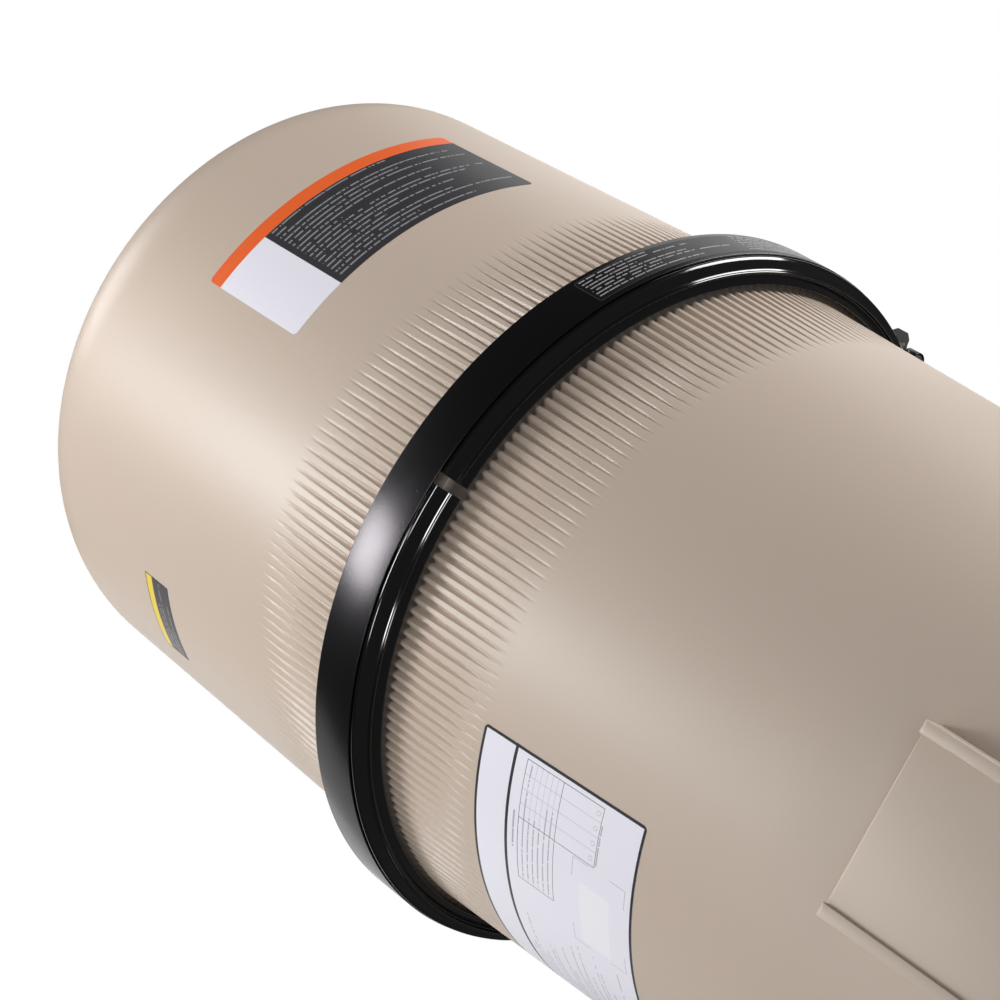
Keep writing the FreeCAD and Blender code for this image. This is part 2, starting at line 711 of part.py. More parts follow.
def lid_outline():
    """Section of the lid: flange, wedge face, leaning wall, shoulder, dome and boss."""
    across, along, shoulder_middle, shoulder_rise, crown_rise = lid_dome()
    joint = S.joint_height
    stretch = S.lid_crown / (S.lid_crown - S.lid_knuckle)
    inner_crown = S.lid_crown - S.wall
    inner_knuckle = S.lid_knuckle - S.wall
    inner_stretch = inner_crown / (S.lid_crown - S.lid_knuckle)
    knuckle_drop = shoulder_rise - crown_rise
    rim_top = S.flange_rim
    cone_top = rim_top + S.flange_cone
    return [
        (S.wall_radius - S.wall, joint),
        (S.flange_radius, joint),
        (S.flange_radius, joint + rim_top),
        (lid_wall(cone_top), joint + cone_top),
        (lid_wall(S.lid_shoulder), joint + S.lid_shoulder),
        Round(S.lid_knuckle, LEFT),
        (shoulder_middle * stretch, joint + crown_rise + knuckle_drop * stretch),
        Round(S.lid_crown, LEFT),
        (S.lid_boss_radius, crown_height(0.0, S.lid_boss_radius)),
        (S.lid_boss_radius, boss_top()),
        (S.lid_bore, boss_top()),
        (S.lid_bore, lid_seat_height()),
        (S.lid_seat, lid_seat_height()),
        Round(inner_crown, RIGHT),
        (shoulder_middle * inner_stretch, joint + crown_rise + knuckle_drop * inner_stretch),
        Round(inner_knuckle, RIGHT),
        (shoulder_middle + inner_knuckle * across, joint + shoulder_rise + inner_knuckle * along),
    ]


def make_tank_lid():
    """Lid: fluted above the joint, smooth above, with a domed top."""
    body = new_body("tank_lid")
    spin(body, "shell", add_sketch(body, "shell", [lid_outline()]))
    flute_cutter(body, lid_wall(S.flute_root), S.joint_height + S.flute_root,
                 -S.lid_draft, upwards=True)
    return body


def make_tank_seal():
    """Square-cut seal in the lower flange."""
    joint = S.joint_height
    return ring("tank_seal", S.seal_radius, S.seal_radius + S.seal_width,
                joint - S.seal_depth, joint)


def retainer_outline():
    """Rolled section of a V-retainer: web, outer ridge, valley, inner ridge and lip."""
    web_outer = S.band_radius - S.band_thick - S.turning_gap
    web_inner = web_outer - S.retainer_thick
    lip_radius = S.wall_radius + S.fixed_gap * 10.0
    lower_outside = [
        (lip_radius, -S.retainer_lip),
        (S.ridge_inner, -S.ridge_drop),
        (S.valley_radius, -S.valley_drop),
        (S.ridge_outer, -S.ridge_edge),
        (web_outer, -S.band_half),
    ]
    upper_outside = [(radius, -height) for radius, height in reversed(lower_outside)]
    rim_corner = S.flange_rim + S.retainer_thick / 4.0
    upper_inside = [
        (lip_radius, S.retainer_lip - S.retainer_thick),
        (S.flange_radius + S.fixed_gap, rim_corner + S.fixed_gap * 3.0),
        (web_inner, rim_corner - S.retainer_thick),
    ]
    lower_inside = [(radius, -height) for radius, height in reversed(upper_inside)]
    return lower_outside + upper_outside + upper_inside + lower_inside


def make_clamp_segments():
    """Three V-retainers that wedge the two flanges together."""
    bodies = []
    for index in range(3):
        name = f"clamp_segment_{index + 1}"
        body = new_body(name)
        sketch = add_sketch(body, name, [retainer_outline()], turn=-90.0)
        spin(body, f"{name}_turned", sketch, 120.0 - S.retainer_gap)
        heading = number(S.clamp_heading) + 60.0 + 120.0 * index
        body.Placement = heading_frame(heading, height=S.joint_height)
        bodies.append(body)
    return bodies


def loop_radius():
    """Distance from the tank's axis to the middle of a band loop."""
    return S.band_radius - S.band_thick + S.trunnion_radius + S.band_thick + S.turning_gap


def bolt_line():
    """Distance from the tank's axis to the clamp bolt's axis."""
    return loop_radius() * cosine(S.trunnion_angle)


def trunnion_offset():
    """Distance along the bolt from the middle of the gap to a cross pin."""
    return loop_radius() * sine(S.trunnion_angle)


def make_clamp_band():
    """Tension band with a rolled loop at each end and a slot for the bolt."""
    body = new_body("clamp_band")
    inner = S.band_radius - S.band_thick
    section = [(inner, -S.band_half), (S.band_radius, -S.band_half),
               (S.band_radius, S.band_half), (inner, S.band_half)]
    sketch = add_sketch(body, "strap", [section], turn=90.0)
    spin(body, "strap", sketch, 360.0 - S.trunnion_angle * 2.0)
    hole = S.trunnion_radius + S.turning_gap
    for side, sign in (("right", 1.0), ("left", -1.0)):
        x = trunnion_offset() * sign
        loops = [Disc(x, -bolt_line(), hole + S.band_thick), Disc(x, -bolt_line(), hole)]
        loop_sketch = add_sketch(body, f"{side}_loop", loops, LEVEL)
        extrude(body, f"{side}_loop", loop_sketch, S.band_half * 2.0, both_ways=True)
    reach = loop_radius() + hole + S.band_thick * 2.0
    window = [
        (-S.band_radius - S.turning_gap, -S.bolt_window),
        (-S.band_radius - S.turning_gap, S.bolt_window),
        (-reach, S.bolt_window),
        (-reach, -S.bolt_window),
    ]
    window_sketch = add_sketch(body, "window", [window], "YZ_Plane")
    extrude(body, "window", window_sketch, reach, both_ways=True, cut=True)
    body.Placement = heading_frame(S.clamp_heading, height=S.joint_height)
    return body


def clamp_spot(along):
    """Placement on the clamp bolt: local +Z runs along the bolt."""
    frame = heading_frame(S.clamp_heading, height=S.joint_height)
    spot = FreeCAD.Vector(number(along), -number(bolt_line()), 0)
    lie_down = FreeCAD.Rotation(Y_DIRECTION, 90.0)
    return frame.multiply(FreeCAD.Placement(spot, lie_down))


def make_trunnions():
    """Cross pins in the band's loops, drilled for the bolt."""
    bodies = []
    for name, sign in (("clamp_trunnion_spring_end", 1.0), ("clamp_trunnion_plain_end", -1.0)):
        body = new_body(name)
        pin = add_sketch(body, "pin", [Disc(0.0, 0.0, S.trunnion_radius)], LEVEL)
        extrude(body, "pin", pin, S.trunnion_half * 2.0, both_ways=True)
        hole = add_sketch(body, "hole", [Disc(0.0, 0.0, S.bolt_radius + S.fixed_gap)], "YZ_Plane")
        extrude(body, "hole", hole, S.trunnion_radius * 3.0, both_ways=True, cut=True)
        frame = heading_frame(S.clamp_heading, height=S.joint_height)
        spot = FreeCAD.Vector(number(trunnion_offset()) * sign, -number(bolt_line()), 0)
        body.Placement = frame.multiply(FreeCAD.Placement(spot, FreeCAD.Rotation()))
        bodies.append(body)
    return bodies


def make_clamp_bolt_set():
    """Bolt with its head, seat washer, die spring, washer and nut, in a row."""
    pin_edge = trunnion_offset() + S.trunnion_radius
    seat_length = S.trunnion_radius / 2.0
    spring_start = pin_edge + seat_length
    spring_end = spring_start + S.spring_length
    nut_start = spring_end + S.washer_thick
    head_height = S.bolt_radius * 1.3
    head_start = -pin_edge - seat_length - head_height
    bolt = new_body("clamp_bolt")
    shank = add_sketch(bolt, "shank", [Disc(0.0, 0.0, S.bolt_radius)], LEVEL)
    extrude(bolt, "shank", shank, nut_start + S.nut_height * 1.6 - head_start)
    head = add_sketch(bolt, "head", [hexagon(S.nut_flats)], LEVEL)
    extrude(bolt, "head", head, head_height)
    bolt.Placement = clamp_spot(head_start)
    hole = S.bolt_radius + S.fixed_gap
    head_seat = ring("clamp_head_seat", hole, S.spring_radius, 0.0, seat_length)
    head_seat.Placement = clamp_spot(head_start + head_height)
    seat = ring("clamp_spring_seat", hole, S.spring_radius, 0.0, seat_length)
    seat.Placement = clamp_spot(pin_edge)
    spring = make_spring()
    spring.Placement = clamp_spot(spring_start)
    washer = ring("clamp_washer", hole, S.nut_flats / 2.0, 0.0, S.washer_thick)
    washer.Placement = clamp_spot(spring_end)
    nut = new_body("clamp_nut")
    nut_loops = [hexagon(S.nut_flats), Disc(0.0, 0.0, S.bolt_radius + S.bearing_gap)]
    extrude(nut, "nut", add_sketch(nut, "nut", nut_loops, LEVEL), S.nut_height)
    nut.Placement = clamp_spot(nut_start + S.bearing_gap)
    return [bolt, head_seat, seat, spring, washer, nut]


def make_spring():
    """Die spring of square wire, with its end turns squared off."""
    body = new_body("clamp_spring")
    inner = S.spring_radius - S.spring_wire
    wire = [(inner, 0.0), (S.spring_radius, 0.0), (S.spring_radius, S.spring_wire),
            (inner, S.spring_wire)]
    helix = body.newObject("PartDesign::AdditiveHelix", "coil")
    helix.Profile = add_sketch(body, "wire", [wire])
    helix.ReferenceAxis = (helix.Profile[0], ["V_Axis"])
    helix.Mode = "height-turns-angle"
    set_length(helix, "Height", S.spring_length - S.spring_wire)
    set_length(helix, "Turns", S.spring_turns)
    body.Tip = helix
    return body


def valve_base():
    """Underside of the relief valve, just above the adapter nut."""
    return boss_top() + S.adapter_nut_height + S.turning_gap


def make_adapter_set():
    """Threaded adapter through the dome, with its gasket below and nut above."""
    seat = lid_seat_height()
    flange_top = seat - S.adapter_gasket
    adapter = turned("relief_adapter", [
        (S.neck_bore, flange_top - S.adapter_flange_thick),
        (S.adapter_flange, flange_top - S.adapter_flange_thick),
        (S.adapter_flange, flange_top),
        (S.neck_radius, flange_top),
        (S.neck_radius, valve_base() + S.knob_height / 2.0),
        (S.neck_bore, valve_base() + S.knob_height / 2.0),
    ])
    gasket = ring("adapter_gasket", S.neck_radius + S.fixed_gap, S.adapter_flange,
                  flange_top, seat)
    nut = new_body("adapter_nut")
    loops = [hexagon(S.adapter_nut_flats), Disc(0.0, 0.0, S.neck_radius + S.fixed_gap)]
    nut_sketch = add_sketch(nut, "nut", loops, LEVEL)
    extrude(nut, "nut", nut_sketch, S.adapter_nut_height)
    nut.Placement = FreeCAD.Placement(FreeCAD.Vector(0, 0, number(boss_top())),
                                      FreeCAD.Rotation())
    nut.setExpression("Placement.Base.z", boss_top().formula)
    return [adapter, gasket, nut]


def make_relief_valve():
    """Relief valve on the adapter: body, turning knob with two wings, and poppet."""
    base = valve_base()
    foot = S.valve_height / 6.0
    chamber = S.poppet_radius + S.turning_gap * 4.0
    roof = S.valve_height - foot
    knob_base = foot + S.turning_gap
    body = turned("relief_body", [
        (S.neck_radius + S.fixed_gap, base),
        (S.valve_radius, base),
        (S.valve_radius, base + foot),
        (S.valve_waist, base + foot),
        (S.valve_waist, base + knob_base + S.knob_height),
        (S.valve_waist - foot, base + S.valve_height),
        (S.stem_radius + S.fixed_gap, base + S.valve_height),
        (S.stem_radius + S.fixed_gap, base + roof),
        (chamber, base + roof),
        (chamber, base + S.knob_height / 2.0),
        (S.neck_radius + S.fixed_gap, base + S.knob_height / 2.0),
    ])
    knob = new_body("relief_knob")
    hole = S.valve_waist + S.turning_gap
    wing = S.knob_wing_thick / 2.0
    knob_ring = [Disc(0.0, 0.0, S.knob_radius), Disc(0.0, 0.0, hole)]
    extrude(knob, "grip", add_sketch(knob, "grip", knob_ring, LEVEL), S.knob_height)
    wing_inner = (S.knob_radius + hole) / 2.0
    wing_outline = [(wing_inner, -wing), (S.knob_wing - wing, -wing), Round(wing, LEFT),
                    (S.knob_wing, 0.0), Round(wing, LEFT), (S.knob_wing - wing, wing),
                    (wing_inner, wing)]
    wing_pad = extrude(knob, "wing", add_sketch(knob, "wing", [wing_outline], LEVEL),
                       S.knob_height)
    around(knob, "wings", wing_pad, 2.0)
    knob_height = base + knob_base
    knob.Placement = FreeCAD.Placement(FreeCAD.Vector(0, 0, number(knob_height)),
                                       FreeCAD.Rotation())
    knob.setExpression("Placement.Base.z", knob_height.formula)
    disc_low = base + S.knob_height / 2.0 + S.turning_gap
    disc_thick = S.poppet_lift * 1.5
    poppet = turned("relief_poppet", [
        (0.0, disc_low),
        (S.poppet_radius, disc_low),
        (S.poppet_radius, disc_low + disc_thick),
        (S.stem_radius, disc_low + disc_thick),
        (S.stem_radius, disc_low + disc_thick * 2.0),
        (0.0, disc_low + disc_thick * 2.0),
    ])
    return [body, knob, poppet]


def gauge_height():
    """Axis of the gauge above the floor."""
    return valve_base() + S.valve_height + S.stem_hex + S.gauge_radius


def gauge_spot(body):
    """Turn a gauge piece, drawn from the case's back, to face the front."""
    body.Placement = outward_frame(0.0, -number(S.gauge_depth) / 2.0, gauge_height())
    return body


def make_gauge_stem():
    """Brass stem between the relief valve and the gauge case."""
    body = new_body("gauge_stem")
    shank = add_sketch(body, "shank", [Disc(0.0, 0.0, S.stem_radius)], LEVEL)
    shank_length = S.valve_height / 6.0 + S.stem_hex + S.gauge_shell - S.fixed_gap * 2.0
    extrude(body, "shank", shank, shank_length)
    hexagon_sketch = add_sketch(body, "flats", [hexagon(S.stem_flats)], LEVEL,
                                shift=S.valve_height / 6.0)
    extrude(body, "flats", hexagon_sketch, S.stem_hex - S.gauge_shell)
    base = valve_base() + S.valve_height - S.valve_height / 6.0
    body.Placement = FreeCAD.Placement(FreeCAD.Vector(0, 0, number(base)), FreeCAD.Rotation())
    body.setExpression("Placement.Base.z", base.formula)
    return body


def make_gauge():
    """Pressure gauge: case, dial, needle, lens, retaining ring and reference ring."""
    ledge = S.gauge_depth - S.lens_thick * 2.0
    inner = S.gauge_radius - S.gauge_shell
    step = S.gauge_shell / 2.0
    bearing = S.arbor_radius + S.bearing_gap
    post = S.arbor_radius * 3.0
    socket_depth = S.dial_height / 2.0
    case = turned("gauge_case", [
        (0.0, 0.0),
        (S.gauge_radius - S.gauge_shell, 0.0),
        (S.gauge_radius, S.gauge_shell),
        (S.gauge_radius, S.gauge_depth),
        (inner + step, S.gauge_depth),
        (inner + step, ledge),
        (inner, ledge),
        (inner, S.gauge_shell),
        (post, S.gauge_shell),
        (post, S.dial_height),
        (bearing, S.dial_height),
        (bearing, socket_depth),
        (0.0, socket_depth),
    ])
    stem_hole = Disc(0.0, S.gauge_depth / 2.0, S.stem_radius + S.fixed_gap)
    hole_sketch = add_sketch(case, "stem_hole", [stem_hole], shift=inner - step * 4.0)
    extrude(case, "stem_hole", hole_sketch, S.gauge_shell * 6.0, backwards=True, cut=True)
    case = gauge_spot(case)
    dial_top = S.dial_height + S.dial_thick
    dial = gauge_spot(ring("gauge_dial", bearing + S.turning_gap, inner - S.fixed_gap,
                           S.dial_height, dial_top))
    hub_low = dial_top + S.turning_gap
    hub_top = hub_low + S.needle_thick * 2.0
    needle = turned("gauge_needle", [
        (0.0, socket_depth + S.turning_gap),
        (S.arbor_radius, socket_depth + S.turning_gap),
        (S.arbor_radius, hub_low),
        (post, hub_low),
        (post, hub_top),
        (0.0, hub_top),
    ])
    tail = S.needle_length / 3.0
    pointer = [(-S.arbor_radius, -tail), (S.arbor_radius, -tail),
               (S.needle_thick / 2.0, S.needle_length), (-S.needle_thick / 2.0, S.needle_length)]
    pointer_sketch = add_sketch(needle, "pointer", [pointer], LEVEL, shift=hub_low)
    extrude(needle, "pointer", pointer_sketch, S.needle_thick)
    needle = gauge_spot(needle)
    park = FreeCAD.Placement(FreeCAD.Vector(), FreeCAD.Rotation(Z_DIRECTION, 135.0))
    needle.Placement = needle.Placement.multiply(park)
    lens = gauge_spot(turned("gauge_lens", [
        (0.0, ledge),
        (inner + step - S.fixed_gap, ledge),
        (inner + step - S.fixed_gap, ledge + S.lens_thick),
        (0.0, ledge + S.lens_thick),
    ]))
    retainer = gauge_spot(ring("gauge_bezel", inner - step * 2.0, inner + step - S.fixed_gap,
                               ledge + S.lens_thick, S.gauge_depth))
    lip = S.gauge_depth + S.turning_gap
    ring_low = S.gauge_depth / 2.0 + S.stem_flats / 2.0 + S.turning_gap
    reference = gauge_spot(turned("gauge_ring", [
        (S.gauge_radius + S.turning_gap, ring_low),
        (S.gauge_ring_radius, ring_low),
        (S.gauge_ring_radius, lip),
        (S.gauge_ring_radius - S.gauge_shell, lip + S.gauge_shell),
        (S.gauge_radius - S.gauge_shell, lip + S.gauge_shell),
        (S.gauge_radius - S.gauge_shell, lip),
        (S.gauge_radius + S.turning_gap, lip),
    ]))
    return [case, dial, needle, lens, retainer, reference]


def element_base():
    """Underside of the elements: the top of the bottom manifold."""
    return S.plenum_base + S.plenum_height


def element_top():
    """Top of the elements."""
    return element_base() + S.element_length


def element_corners():
    """Directions of the four elements from the tank's axis."""
    return ((1.0, 1.0), (-1.0, 1.0), (-1.0, -1.0), (1.0, -1.0))


def add_lobes(body, name, bottom, height, hub):
    """A hub with a lobe under each element, as one plate."""
    middle = add_sketch(body, f"{name}_hub", [Disc(0.0, 0.0, hub)], LEVEL, shift=bottom)
    extrude(body, f"{name}_hub", middle, height)
    lobe_disc = Disc(S.element_pitch, S.element_pitch, S.lobe_radius)
    lobe = add_sketch(body, f"{name}_lobe", [lobe_disc], LEVEL, shift=bottom)
    around(body, f"{name}_lobes", extrude(body, f"{name}_lobe", lobe, height), 4.0)


def make_bottom_manifold():
    """Bottom manifold: hollow plate with four spigots, outlet column, pipe socket and legs."""
    body = new_body("bottom_manifold")
    top = element_base()
    add_lobes(body, "plate", S.plenum_base, S.plenum_height, S.hub_radius)
    tube = Disc(S.element_pitch, S.element_pitch, S.spigot_radius)
    tube_sketch = add_sketch(body, "spigot", [tube], LEVEL, shift=top)
    around(body, "spigots", extrude(body, "spigot", tube_sketch, S.spigot_rise), 4.0)
    column_base = S.port_height - S.downcomer_radius - S.plenum_wall
    column = add_sketch(body, "column", [Disc(0.0, 0.0, S.downcomer_radius)], LEVEL,
                        shift=column_base)
    extrude(body, "column", column, S.plenum_base - column_base)
    arm_reach = S.downcomer_radius + S.socket_depth
    arm = Disc(0.0, S.port_height, S.socket_radius + S.plenum_wall)
    arm_sketch = add_sketch(body, "arm", [arm], turn=-S.port_heading)
    extrude(body, "arm", arm_sketch, arm_reach)
    leg_sketch = add_sketch(body, "leg", [Disc(S.seat_circle, 0.0, S.leg_radius)], LEVEL,
                            shift=S.seat_height)
    leg = extrude(body, "leg", leg_sketch, S.plenum_base - S.seat_height)
    around(body, "legs", leg, 4.0)
    cut_manifold_ways(body, top, column_base, arm_reach)
    return body


def cut_manifold_ways(body, top, column_base, arm_reach):
    """Waterways of the bottom manifold: spigots, crossing channels, column and pipe socket."""
    channel_low = S.plenum_base + S.plenum_wall
    channel_high = top - S.plenum_wall
    way = Disc(S.element_pitch, S.element_pitch, S.spigot_bore)
    way_sketch = add_sketch(body, "spigot_way", [way], LEVEL, shift=top + S.spigot_rise)
    way_cut = extrude(body, "spigot_way", way_sketch, top + S.spigot_rise - channel_low, cut=True)
    around(body, "spigot_ways", way_cut, 4.0)
    half = S.channel_width / 2.0 / math.sqrt(2.0)
    reach = S.element_pitch
    channel = [(half, -half), (reach + half, reach - half), (reach - half, reach + half),
               (-half, half)]
    channel_sketch = add_sketch(body, "channel", [channel], LEVEL, shift=channel_high)
    channel_cut = extrude(body, "channel", channel_sketch, channel_high - channel_low, cut=True)
    around(body, "channels", channel_cut, 4.0)
    column = add_sketch(body, "column_way", [Disc(0.0, 0.0, S.pipe_bore)], LEVEL,
                        shift=channel_low)
    extrude(body, "column_way", column, channel_low - column_base - S.plenum_wall, cut=True)
    arm = add_sketch(body, "arm_way", [Disc(0.0, S.port_height, S.pipe_bore)],
                     turn=-S.port_heading, shift=arm_reach)
    extrude(body, "arm_way", arm, arm_reach, cut=True)
    socket = Disc(0.0, S.port_height, S.socket_radius)
    socket_sketch = add_sketch(body, "socket", [socket], turn=-S.port_heading, shift=arm_reach)
    extrude(body, "socket", socket_sketch, S.socket_depth, cut=True)


def make_top_manifold():
    """Top manifold: a plate that locks the four elements, with a plug for each core."""
    body = new_body("top_manifold")
    top = element_top()
    add_lobes(body, "plate", top, S.top_plate, S.top_hub)
    plug = Disc(S.element_pitch, S.element_pitch, S.spigot_radius)
    plug_sketch = add_sketch(body, "plug", [plug], LEVEL, shift=top - S.spigot_rise)
    around(body, "plugs", extrude(body, "plug", plug_sketch, S.spigot_rise), 4.0)
    hole = Disc(0.0, 0.0, S.bleed_radius + S.fixed_gap)
    hole_sketch = add_sketch(body, "bleed_hole", [hole], LEVEL, shift=top + S.top_plate)
    extrude(body, "bleed_hole", hole_sketch, S.top_plate + S.spigot_rise, cut=True)
    return body


def make_air_bleed():
    """Air bleed tube from the manifold to the dome, with its strainer."""
    tube = ring("air_bleed_tube", S.bleed_bore, S.bleed_radius, element_base(), bleed_top())
    shell = S.strainer_radius - S.bleed_radius
    strainer = turned("air_strainer", [
        (S.bleed_radius + S.fixed_gap, bleed_top() - shell),
        (S.strainer_radius, bleed_top() - shell),
        (S.strainer_radius, bleed_top() + S.strainer_height - shell),
        (0.0, bleed_top() + S.strainer_height - shell),
        (0.0, bleed_top() + S.strainer_height - shell - S.gauge_shell),
        (S.strainer_radius - S.gauge_shell, bleed_top() + S.strainer_height - shell
         - S.gauge_shell),
        (S.strainer_radius - S.gauge_shell, bleed_top()),
        (S.bleed_radius + S.fixed_gap, bleed_top()),
    ])
    return [tube, strainer]


def make_elements():
    """Four elements, each a pleated pack on a core that carries its two end caps."""
    bodies = []
    base = element_base()
    top = element_top()
    for index, (x_way, y_way) in enumerate(element_corners(), start=1):
        spot = FreeCAD.Vector(number(S.element_pitch) * x_way, number(S.element_pitch) * y_way, 0)
        pieces = (
            ring(f"element_media_{index}", S.core_radius + S.fixed_gap, S.media_radius,
                 base + S.element_cap, top - S.element_cap),
            turned(f"element_cage_{index}", [
                (S.core_bore, base),
                (S.element_radius, base),
                (S.element_radius, base + S.element_cap),
                (S.core_radius, base + S.element_cap),
                (S.core_radius, top - S.element_cap),
                (S.element_radius, top - S.element_cap),
                (S.element_radius, top),
                (S.core_bore, top),
            ]),
        )
        for piece in pieces:
            piece.Placement = FreeCAD.Placement(spot, FreeCAD.Rotation())
            piece.setExpression("Placement.Base.x", (S.element_pitch * x_way).formula)
            piece.setExpression("Placement.Base.y", (S.element_pitch * y_way).formula)
            bodies.append(piece)
    return bodies


def port_tail():
    """Inner end of a bulkhead fitting, from the pad's face."""
    return (S.pad_face - S.nut_seat) + S.bulkhead_nut_height + S.bulkhead_tail


def make_inner_pipes():
    """Outlet pipe from the manifold to the left port, and the diffuser at the right port."""
    manifold_end = S.downcomer_radius + S.fixed_gap
    port_end = S.pad_face - port_tail() + S.socket_depth - S.fixed_gap
    pipe = ring("outlet_pipe", S.pipe_bore, S.pipe_radius, manifold_end, port_end)
    pipe.Placement = outward_frame(-S.port_heading, 0.0, S.port_height)
    start = port_end - S.diffuser_length
    diffuser = turned("inlet_diffuser", [
        (0.0, start),
        (S.pipe_radius, start),
        (S.pipe_radius, port_end),
        (S.pipe_bore, port_end),
        (S.pipe_bore, start + S.gauge_shell * 2.0),
        (0.0, start + S.gauge_shell * 2.0),
    ])
    slot_low = start + S.gauge_shell * 4.0
    slot_high = port_end - S.socket_depth - S.gauge_shell * 4.0
    slot = [(-S.pipe_bore / 3.0, slot_low), (S.pipe_bore / 3.0, slot_low),
            (S.pipe_bore / 3.0, slot_high), (-S.pipe_bore / 3.0, slot_high)]
    slot_sketch = add_sketch(diffuser, "slot", [slot])
    slot_cut = extrude(diffuser, "slot", slot_sketch, S.pipe_radius * 2.0, backwards=True,
                       cut=True)
    around(diffuser, "slots", slot_cut, 6.0)
    diffuser.Placement = outward_frame(S.port_heading, 0.0, S.port_height)
    return [pipe, diffuser]


def make_port(name, heading):
    """One port, from the inside out: lock nut, bulkhead, gasket, seal, tailpiece, union nut."""
    wall_in = -(S.pad_face - S.nut_seat)
    tail = -port_tail()
    flange_low = S.bulkhead_gasket
    flange_top = flange_low + S.bulkhead_flange_thick
    face = flange_top + S.collar_length
    bulkhead = turned(f"{name}_bulkhead", [
        (S.socket_radius, tail),
        (S.bulkhead_neck, tail),
        (S.bulkhead_neck, flange_low),
        (S.bulkhead_flange, flange_low),
        (S.bulkhead_flange, flange_top),
        (S.collar_radius, flange_top),
        (S.collar_radius, face),
        (S.union_seal_outer + S.fixed_gap, face),
        (S.union_seal_outer + S.fixed_gap, face - S.union_seal_depth),
        (S.union_seal_inner - S.fixed_gap, face - S.union_seal_depth),
        (S.union_seal_inner - S.fixed_gap, face),
        (S.pipe_bore, face),
        (S.pipe_bore, tail + S.socket_depth),
        (S.socket_radius, tail + S.socket_depth),
    ])
    gasket = ring(f"{name}_gasket", S.bulkhead_neck + S.fixed_gap, S.bulkhead_flange, 0.0,
                  flange_low)
    lock_nut = ring(f"{name}_lock_nut", S.bulkhead_neck + S.fixed_gap, S.bulkhead_nut_radius,
                    wall_in - S.bulkhead_nut_height, wall_in)
    seal = ring(f"{name}_union_seal", S.union_seal_inner, S.union_seal_outer,
                face - S.union_seal_depth, face)
    shoulder = face + S.tail_shoulder_thick
    tail_end = shoulder + S.tail_length
    tailpiece = turned(f"{name}_tailpiece", [
        (S.pipe_bore, face),
        (S.tail_shoulder, face),
        (S.tail_shoulder, shoulder),
        (S.tail_radius, shoulder),
        (S.tail_radius, tail_end),
        (S.tail_socket, tail_end),
        (S.tail_socket, tail_end - S.tail_socket_depth),
        (S.pipe_bore, tail_end - S.tail_socket_depth),
    ])
    nut_low = flange_top + S.union_nut_back
    lip_low = shoulder + S.turning_gap
    union_nut = turned(f"{name}_union_nut", [
        (S.collar_radius + S.turning_gap, nut_low),
        (S.union_nut_radius, nut_low),
        (S.union_nut_radius, lip_low + S.union_nut_lip),
        (S.tail_radius + S.turning_gap, lip_low + S.union_nut_lip),
        (S.tail_radius + S.turning_gap, lip_low),
        (S.collar_radius + S.turning_gap, lip_low),
    ])
    pieces = [bulkhead, gasket, lock_nut, seal, tailpiece, union_nut]
    for piece in pieces:
        piece.Placement = outward_frame(heading, S.pad_face, S.port_height)
    return pieces


def make_drain():
    """Drain plug with its seal, screwed into the boss at the front."""
    seal = ring("drain_seal", S.drain_bore + S.turning_gap, S.plug_flange - S.turning_gap, 0.0,
                S.plug_seal)
    plug = turned("drain_plug", [
        (0.0, S.plug_seal - S.plug_shank),
        (S.drain_bore - S.turning_gap, S.plug_seal - S.plug_shank),
        (S.drain_bore - S.turning_gap, S.plug_seal),
        (S.plug_flange, S.plug_seal),
        (S.plug_flange, S.plug_seal + S.plug_flange_thick),
        (0.0, S.plug_seal + S.plug_flange_thick),
    ])
    half = S.plug_square / 2.0
    square = [(-half, -half), (half, -half), (half, half), (-half, half)]
    square_sketch = add_sketch(plug, "square", [square], LEVEL,
                               shift=S.plug_seal + S.plug_flange_thick)
    extrude(plug, "square", square_sketch, S.plug_square_height)
    for piece in (seal, plug):
        piece.Placement = outward_frame(0.0, S.drain_face, S.drain_height)
    return [seal, plug]


def check_feature(feature):
    """Stop at a feature that failed, or at a cut that removed nothing."""
    if "Invalid" in feature.State or "Error" in feature.State:
        raise RuntimeError(f"{feature.Label}: {feature.State}")
    if feature.isDerivedFrom("PartDesign::Pocket") or feature.isDerivedFrom("PartDesign::Groove"):
        removed = feature.BaseFeature.Shape.Volume - feature.Shape.Volume
        if removed <= 0.0:
            raise RuntimeError(f"{feature.Label}: the cut removes nothing")


def export_parts(bodies):
    """Check every object and write one STEP file for each piece."""
    for item in doc.Objects:
        check_feature(item)
    for body in bodies:
        if body.Shape.isNull() or not body.Shape.isValid():
            raise RuntimeError(f"{body.Label}: no valid shape")
    os.makedirs("parts", exist_ok=True)
    for body in bodies:
        body.Shape.exportStep(f"parts/{body.Label}.step")


def main():
    """Build the filter from the foot up and write its pieces."""
    bodies = [make_tank_bottom(), make_tank_lid(), make_tank_seal()]
    bodies += make_clamp_segments()
    bodies += [make_clamp_band()]
    bodies += make_trunnions()
    bodies += make_clamp_bolt_set()
    bodies += make_adapter_set()
    bodies += make_relief_valve()
    bodies += [make_gauge_stem()]
    bodies += make_gauge()
    bodies += [make_bottom_manifold(), make_top_manifold()]
    bodies += make_air_bleed()
    bodies += make_elements()
    bodies += make_inner_pipes()
    bodies += make_port("inlet", S.port_heading)
    bodies += make_port("outlet", -S.port_heading)
    bodies += make_drain()
    doc.recompute()
    export_parts(bodies)
    print(f"{len(bodies)} pieces written")


main()
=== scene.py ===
"""Looks of the pool cartridge filter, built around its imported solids.

Metres, +Z up, origin on the floor in the middle of the foot. A heading is an angle in degrees
from the front (-Y) towards +X, seen from above.
"""

from __future__ import annotations

import json
import logging
import math
from collections.abc import Callable, Sequence
from dataclasses import dataclass
from enum import Enum
from typing import Any

import bmesh
import bpy
import numpy as np
from mathutils import Matrix, Vector

